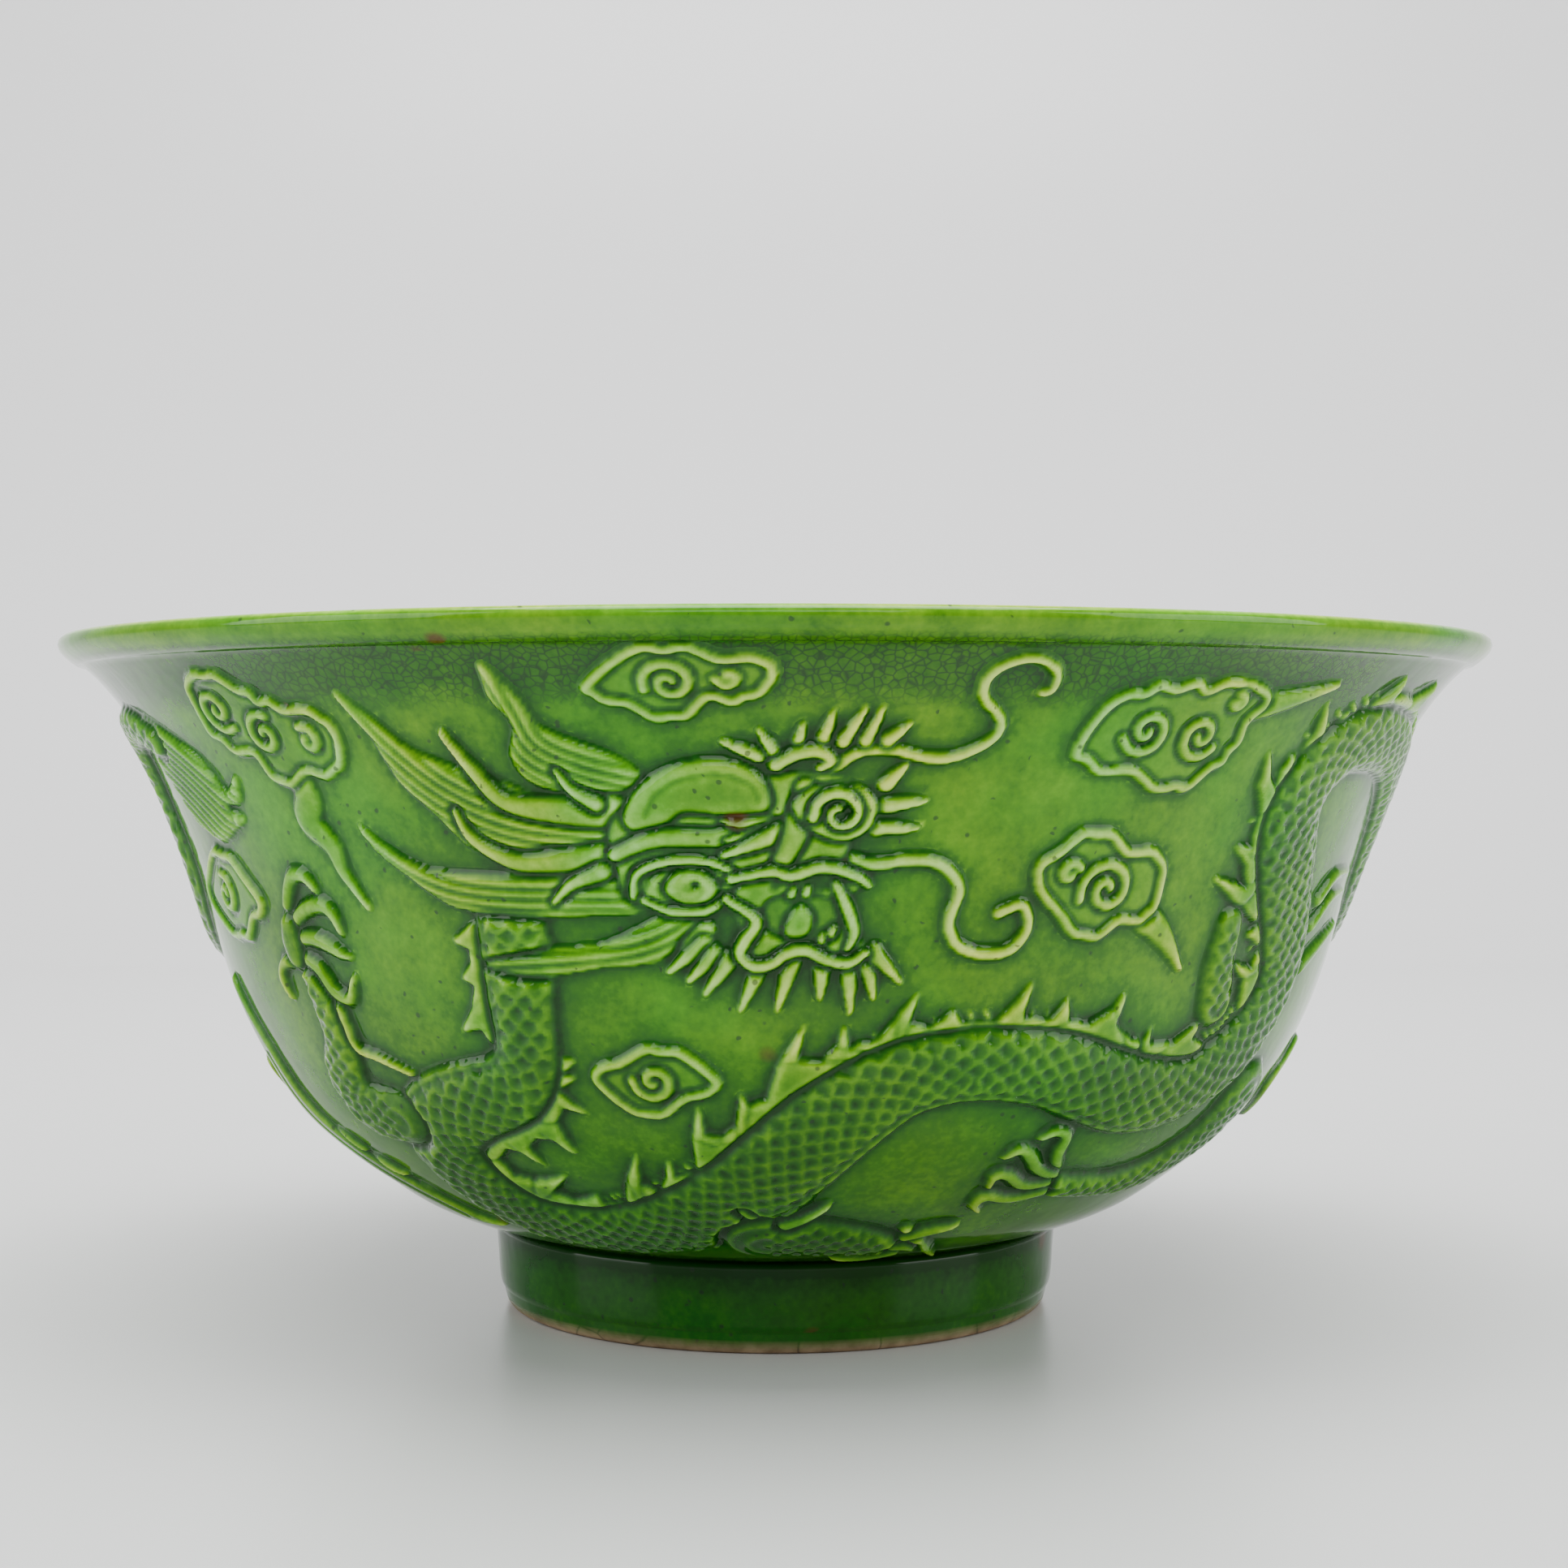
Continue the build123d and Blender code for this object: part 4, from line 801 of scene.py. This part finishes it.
relief = []
for order, turn in (("first", 0.0), ("second", 180.0)):
    for name in names[1:]:
        piece = relief_piece(order, name, turn)
        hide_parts(f"{order}_{name}")
        relief.append(piece)


# ---- bowl wall and foot ring
def turned(label, profile, count):
    """A closed turned form from a closed or axis-to-axis profile of (radius, height)."""
    rings = []
    points = []
    for r, z in profile:
        if r < 1e-6:
            rings.append([len(points)] * count)
            points.append((0, 0, z))
            continue
        start = len(points)
        for step in range(count):
            angle = 2 * math.pi * step / count
            points.append((r * math.sin(angle), -r * math.cos(angle), z))
        rings.append(list(range(start, start + count)))
    faces = []
    for lower, upper in zip(rings[:-1], rings[1:]):
        for step in range(count):
            after = (step + 1) % count
            quad = [lower[step], lower[after], upper[after], upper[step]]
            face = [q for k, q in enumerate(quad) if q != quad[k - 1]]
            if len(face) > 2:
                faces.append(face)
    return mesh_object(label, np.array(points) * MM, faces)


ROUND = 576             # points round the wall
OUTER_ROWS = 118
INNER_ROWS = 16
FLOOR_CLIMB = 14.0      # where the inner wall turns into the floor
LIP_FROM = 81.6         # height where the lip's own, even glaze starts
LIP_REACH = 86.5        # and how far out
LIP_TOP = 84.3          # height above which the glaze has run thin
outer_climb = np.linspace(0.0, WALL_LENGTH - 0.3, OUTER_ROWS)
outer_r, outer_z, out_r, out_z = wall_frame(outer_climb)
outer = list(zip(outer_r, outer_z))
lip = [(87.45, 81.2), (87.9, 81.25), (88.6, 81.75), (89.3, 82.35), (89.8, 82.95), (90.0, 83.6),
       (89.85, 84.2), (89.4, 84.6), (88.9, 84.7), (88.3, 84.6), (87.8, 84.3), (87.4, 83.7), (86.9, 82.9)]
inner_climb = np.linspace(WALL_LENGTH - 2.0, FLOOR_CLIMB, INNER_ROWS)
inner_r, inner_z, in_r, in_z = wall_frame(inner_climb)
inner = list(zip(inner_r - WALL_THICKNESS * in_r, inner_z - WALL_THICKNESS * in_z))
floor_line = [(34.0, 14.9), (26.0, 13.8), (16.0, 13.2), (8.0, 13.03), (0.0, 13.0)]
under = [(0.0, 9.0), (12.0, 9.0), (24.0, 9.0), (30.2, 9.0), (30.9, 9.3), (31.3, 11.1), (36.1, 11.3)]
profile = under + outer + lip + inner + floor_line
wall = turned("wall_glazed", profile, ROUND)

wall_points = np.empty(len(wall.data.vertices) * 3)
wall.data.vertices.foreach_get("co", wall_points)
wall_points = wall_points.reshape(-1, 3) / MM
wall_degrees = np.degrees(np.arctan2(wall_points[:, 0], -wall_points[:, 1]))
reach = np.hypot(wall_points[:, 0], wall_points[:, 1])
wall_glaze = np.full(len(wall_points), 0.5)
first_outer = 1 + ROUND * (len(under) - 1)
last_outer = first_outer + ROUND * len(outer)
column = np.round((wall_degrees[first_outer:last_outer] - FIRST_DEGREE) / degree_step)
column = np.mod(column.astype(int), ACROSS)
row = np.round(np.repeat(outer_climb, ROUND) / WALL_LENGTH * (UP - 1)).astype(int)
wall_glaze[first_outer:last_outer] = glaze[row, column]
wall_glaze[(wall_points[:, 2] > LIP_FROM) & (reach > LIP_REACH)] = 0.50
wall_glaze[wall_points[:, 2] > LIP_TOP] = 0.2
set_values(wall.data, "glaze", wall_glaze)
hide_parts("bowl_wall")

foot_profile = [(31.0, 10.9), (31.0, 1.0), (31.25, 0.35), (31.9, 0.0), (33.6, 0.0), (34.3, 0.35),
                (34.75, 0.95), (35.0, 1.8), (35.12, 2.5), (35.2, 2.75), (35.45, 3.0), (35.6, 3.6),
                (35.75, 5.0), (35.85, 7.0), (36.0, 9.0), (36.12, 10.2), (36.15, 10.9), (31.0, 10.9)]
foot = turned("foot_glazed", foot_profile, 360)
foot_heights = np.array([v.co[2] for v in foot.data.vertices]) / MM
set_values(foot.data, "glaze", np.clip(0.62 + 0.36 * ease((foot_heights - 8.0) / 2.5), 0, 1))
set_values(foot.data, "bare", 1.0 - ease((foot_heights - 0.7) / 0.5))
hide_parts("foot_ring")


# ---- the green glaze
class Nodes:
    """Short names for building one material."""
    def __init__(self, label):
        self.material = bpy.data.materials.new(label)
        self.material.use_nodes = True
        self.tree = self.material.node_tree
        self.shader = self.tree.nodes["Principled BSDF"]
        self.place = self.add("ShaderNodeTexCoord").outputs["Object"]

    def add(self, kind, **settings):
        node = self.tree.nodes.new(kind)
        for key, value in settings.items():
            setattr(node, key, value)
        return node

    def put(self, socket, value):
        if isinstance(value, bpy.types.NodeSocket):
            self.tree.links.new(value, socket)
        else:
            socket.default_value = value

    def noise(self, scale, detail=3.0, rough=0.55):
        node = self.add("ShaderNodeTexNoise")
        self.put(node.inputs["Vector"], self.place)
        self.put(node.inputs["Scale"], scale)
        self.put(node.inputs["Detail"], detail)
        self.put(node.inputs["Roughness"], rough)
        return node.outputs["Fac"]

    def cells(self, scale, feature="F1"):
        node = self.add("ShaderNodeTexVoronoi", feature=feature)
        self.put(node.inputs["Vector"], self.place)
        self.put(node.inputs["Scale"], scale)
        return node

    def math(self, operation, a, b=0.0, c=0.0):
        node = self.add("ShaderNodeMath", operation=operation)
        for socket, value in zip(node.inputs, (a, b, c)):
            self.put(socket, value)
        return node.outputs[0]

    def uneven(self, scale, detail, amount):
        """A noise that adds and takes away evenly."""
        return self.math("MULTIPLY", self.math("SUBTRACT", self.noise(scale, detail, 0.6), 0.5), amount)

    def span(self, value, low, high, to_low=0.0, to_high=1.0):
        node = self.add("ShaderNodeMapRange")
        for socket, given in zip(node.inputs, (value, low, high, to_low, to_high)):
            self.put(socket, given)
        return node.outputs[0]

    def ramp(self, value, stops):
        node = self.add("ShaderNodeValToRGB")
        self.put(node.inputs[0], value)
        bar = node.color_ramp.elements
        while len(bar) < len(stops):
            bar.new(0.5)
        for stop, (place, colour) in zip(bar, stops):
            stop.position = place
            stop.color = (*colour, 1.0)
        return node.outputs[0]

    def mix(self, share, a, b, blend="MIX"):
        node = self.add("ShaderNodeMix", data_type="RGBA", blend_type=blend)
        self.put(node.inputs[0], share)
        for socket, colour in ((node.inputs[6], a), (node.inputs[7], b)):
            self.put(socket, colour if isinstance(colour, bpy.types.NodeSocket) else (*colour, 1.0))
        return node.outputs[2]

    def stain(self, colour, where, strength, tint):
        return self.mix(self.math("MULTIPLY", where, strength), colour, tint)

    def attribute(self, label):
        return self.add("ShaderNodeAttribute", attribute_name=label).outputs["Fac"]


# The glaze's colour from where it is thinnest, over a ridge, to where it stands deepest.
GLAZE_STOPS = [
    (0.00, (0.46, 0.70, 0.16)), (0.20, (0.25, 0.48, 0.045)), (0.38, (0.110, 0.31, 0.005)),
    (0.50, (0.066, 0.225, 0.002)), (0.62, (0.028, 0.135, 0.002)), (0.78, (0.009, 0.080, 0.003)),
    (1.00, (0.003, 0.036, 0.002))]


def green_glaze(label, darker=0.0, crackle=False, bare=False):
    """Transparent lead-green glaze over a pale body, mottled where it ran unevenly."""
    n = Nodes(label)
    mottle = n.uneven(70.0, 4.0, 0.34)
    run = n.uneven(300.0, 3.0, 0.20)
    grain = n.uneven(1100.0, 2.0, 0.22)
    depth = n.math("ADD", n.attribute("glaze"), n.math("ADD", mottle, n.math("ADD", run, grain)))
    climb = n.add("ShaderNodeSeparateXYZ")
    n.put(climb.inputs[0], n.place)
    high = climb.outputs["Z"]
    depth = n.math("ADD", depth, n.span(high, 0.012, 0.056, 0.13 + darker, darker))
    if crackle:
        under_lip = n.math("MULTIPLY", n.span(high, 0.0745, 0.0775), n.span(high, 0.0822, 0.0812))
        depth = n.math("ADD", depth, n.math("MULTIPLY", under_lip, 0.17))
    colour = n.ramp(depth, GLAZE_STOPS)
    warm = n.mix(1.0, colour, (1.30, 1.04, 0.72), "MULTIPLY")
    cool = n.mix(1.0, colour, (0.72, 0.98, 1.10), "MULTIPLY")
    colour = n.mix(n.span(n.noise(38.0, 3.0), 0.38, 0.62), cool, warm)
    if crackle:
        lines = n.cells(1000.0, "DISTANCE_TO_EDGE").outputs["Distance"]
        crack = n.math("MULTIPLY", n.span(lines, 0.13, 0.02), under_lip)
        colour = n.stain(colour, crack, 0.8, (0.01, 0.035, 0.01))
    specks = n.cells(520.0)
    chosen = n.math("GREATER_THAN", n.noise(900.0, 0.0), 0.60)
    speck = n.math("MULTIPLY", n.span(specks.outputs["Distance"], 0.20, 0.12), chosen)
    colour = n.stain(colour, speck, 0.7, (0.012, 0.03, 0.012))
    iron = n.math("MULTIPLY", n.span(n.cells(85.0).outputs["Distance"], 0.13, 0.06),
                  n.math("GREATER_THAN", n.noise(52.0, 0.0), 0.60))
    colour = n.stain(colour, iron, 0.75, (0.09, 0.03, 0.008))
    rough = n.span(n.noise(500.0, 2.0), 0.3, 0.7, 0.055, 0.11)
    if bare:
        clay = n.ramp(n.noise(420.0, 4.0), [(0.3, (0.20, 0.13, 0.07)), (0.7, (0.42, 0.30, 0.18))])
        hair_crack = n.span(n.cells(60.0, "DISTANCE_TO_EDGE").outputs["Distance"], 0.012, 0.0)
        clay = n.stain(clay, hair_crack, 0.7, (0.03, 0.018, 0.01))
        shown = n.attribute("bare")
        colour = n.mix(shown, colour, clay)
        rough = n.math("ADD", rough, n.math("MULTIPLY", shown, 0.6))
    n.put(n.shader.inputs["Base Color"], colour)
    n.put(n.shader.inputs["Roughness"], rough)
    n.put(n.shader.inputs["IOR"], 1.5)
    n.put(n.shader.inputs["Specular IOR Level"], 0.18)
    n.put(n.shader.inputs["Coat Weight"], 0.0 if bare else 0.10)
    n.put(n.shader.inputs["Coat Roughness"], 0.04)
    bump = n.add("ShaderNodeBump")
    n.put(bump.inputs["Strength"], 0.25)
    n.put(bump.inputs["Distance"], 0.0004)
    n.put(bump.inputs["Height"], n.noise(160.0, 2.0))
    n.put(n.shader.inputs["Normal"], bump.outputs[0])
    return n.material


wall_material = green_glaze("green_glaze_wall", 0.0, crackle=True)
relief_material = green_glaze("green_glaze_relief")
foot_material = green_glaze("green_glaze_foot", 0.05, bare=True)
for piece, material, slot in ([(wall, wall_material, "wall_glaze"), (foot, foot_material, "foot_glaze")]
                              + [(p, relief_material, "relief_glaze") for p in relief]):
    piece.data.materials.append(material)
    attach(piece, "root")


# ---- floor, light and camera
CURVE_FROM = 0.55       # metres behind the bowl where the floor starts to curve up
CURVE_RADIUS = 0.5
CURVE_STEPS = 12


def backdrop():
    """A pale floor that curves up into a wall behind, in metres, with painted shade and light: darker on the
    floor in front, lighter up the back.
    """
    line = [(-1.6, 0.0), (CURVE_FROM, 0.0)]
    for step in range(CURVE_STEPS + 1):
        angle = math.radians(90.0 * step / CURVE_STEPS)
        line.append((CURVE_FROM + CURVE_RADIUS * math.sin(angle),
                     CURVE_RADIUS - CURVE_RADIUS * math.cos(angle)))
    line.append((CURVE_FROM + CURVE_RADIUS, 2.6))
    points = [(x, y, z) for y, z in line for x in (-3.0, 3.0)]
    faces = [(2 * k, 2 * k + 1, 2 * k + 3, 2 * k + 2) for k in range(len(line) - 1)]
    sheet = mesh_object("studio_sheet", points, faces)
    n = Nodes("pale_sheet_painted_shade")
    depth = n.add("ShaderNodeSeparateXYZ")
    n.put(depth.inputs[0], n.place)
    # painted shade and light: the sheet's colour runs from dark grey on the floor in front to near white up
    # the back, standing in for how the lamps light it
    painted_light_falloff = n.ramp(n.span(depth.outputs["Y"], -0.1, 0.9),
                  [(0.0, (0.52, 0.53, 0.52)), (1.0, (0.92, 0.92, 0.92))])
    n.put(n.shader.inputs["Base Color"], painted_light_falloff)
    n.put(n.shader.inputs["Roughness"], 0.30)
    sheet.data.materials.append(n.material)


def soft_light(label, place, target, size, power):
    lamp = bpy.data.lights.new(label, "AREA")
    lamp.shape = "RECTANGLE"
    lamp.size, lamp.size_y = size
    lamp.energy = power
    made = bpy.data.objects.new(label, lamp)
    made.location = place
    direction = Vector(target) - Vector(place)
    made.rotation_euler = direction.to_track_quat("-Z", "Y").to_euler()
    bpy.context.scene.collection.objects.link(made)


backdrop()
for label, place, aim, size, power in (
        ("overhead", (0.0, -0.12, 0.95), 0.05, (0.9, 0.7), 23.0),
        ("left_window", (-0.9, -0.35, 0.45), 0.05, (0.7, 0.8), 7.5),
        ("right_window", (0.9, -0.35, 0.45), 0.05, (0.7, 0.8), 7.5),
        ("front_fill", (0.0, -1.1, 0.75), 0.04, (0.8, 0.4), 4.0)):
    soft_light(label, place, (0.0, 0.0, aim), size, power)

world = bpy.data.worlds.new("room") if not bpy.context.scene.world else bpy.context.scene.world
bpy.context.scene.world = world
world.use_nodes = True
room_light = world.node_tree.nodes["Background"].inputs
room_light[0].default_value = (0.86, 0.87, 0.88, 1)
room_light[1].default_value = 0.42

lens = bpy.data.cameras.new("camera")
lens.sensor_width = 36.0
lens.lens = 59.7
camera = bpy.data.objects.new("camera", lens)
camera.location = (0.0011, -0.33845, 0.06934)
camera.rotation_euler = (math.radians(90) - 0.008, 0.0, 0.0)
bpy.context.scene.collection.objects.link(camera)
bpy.context.scene.camera = camera
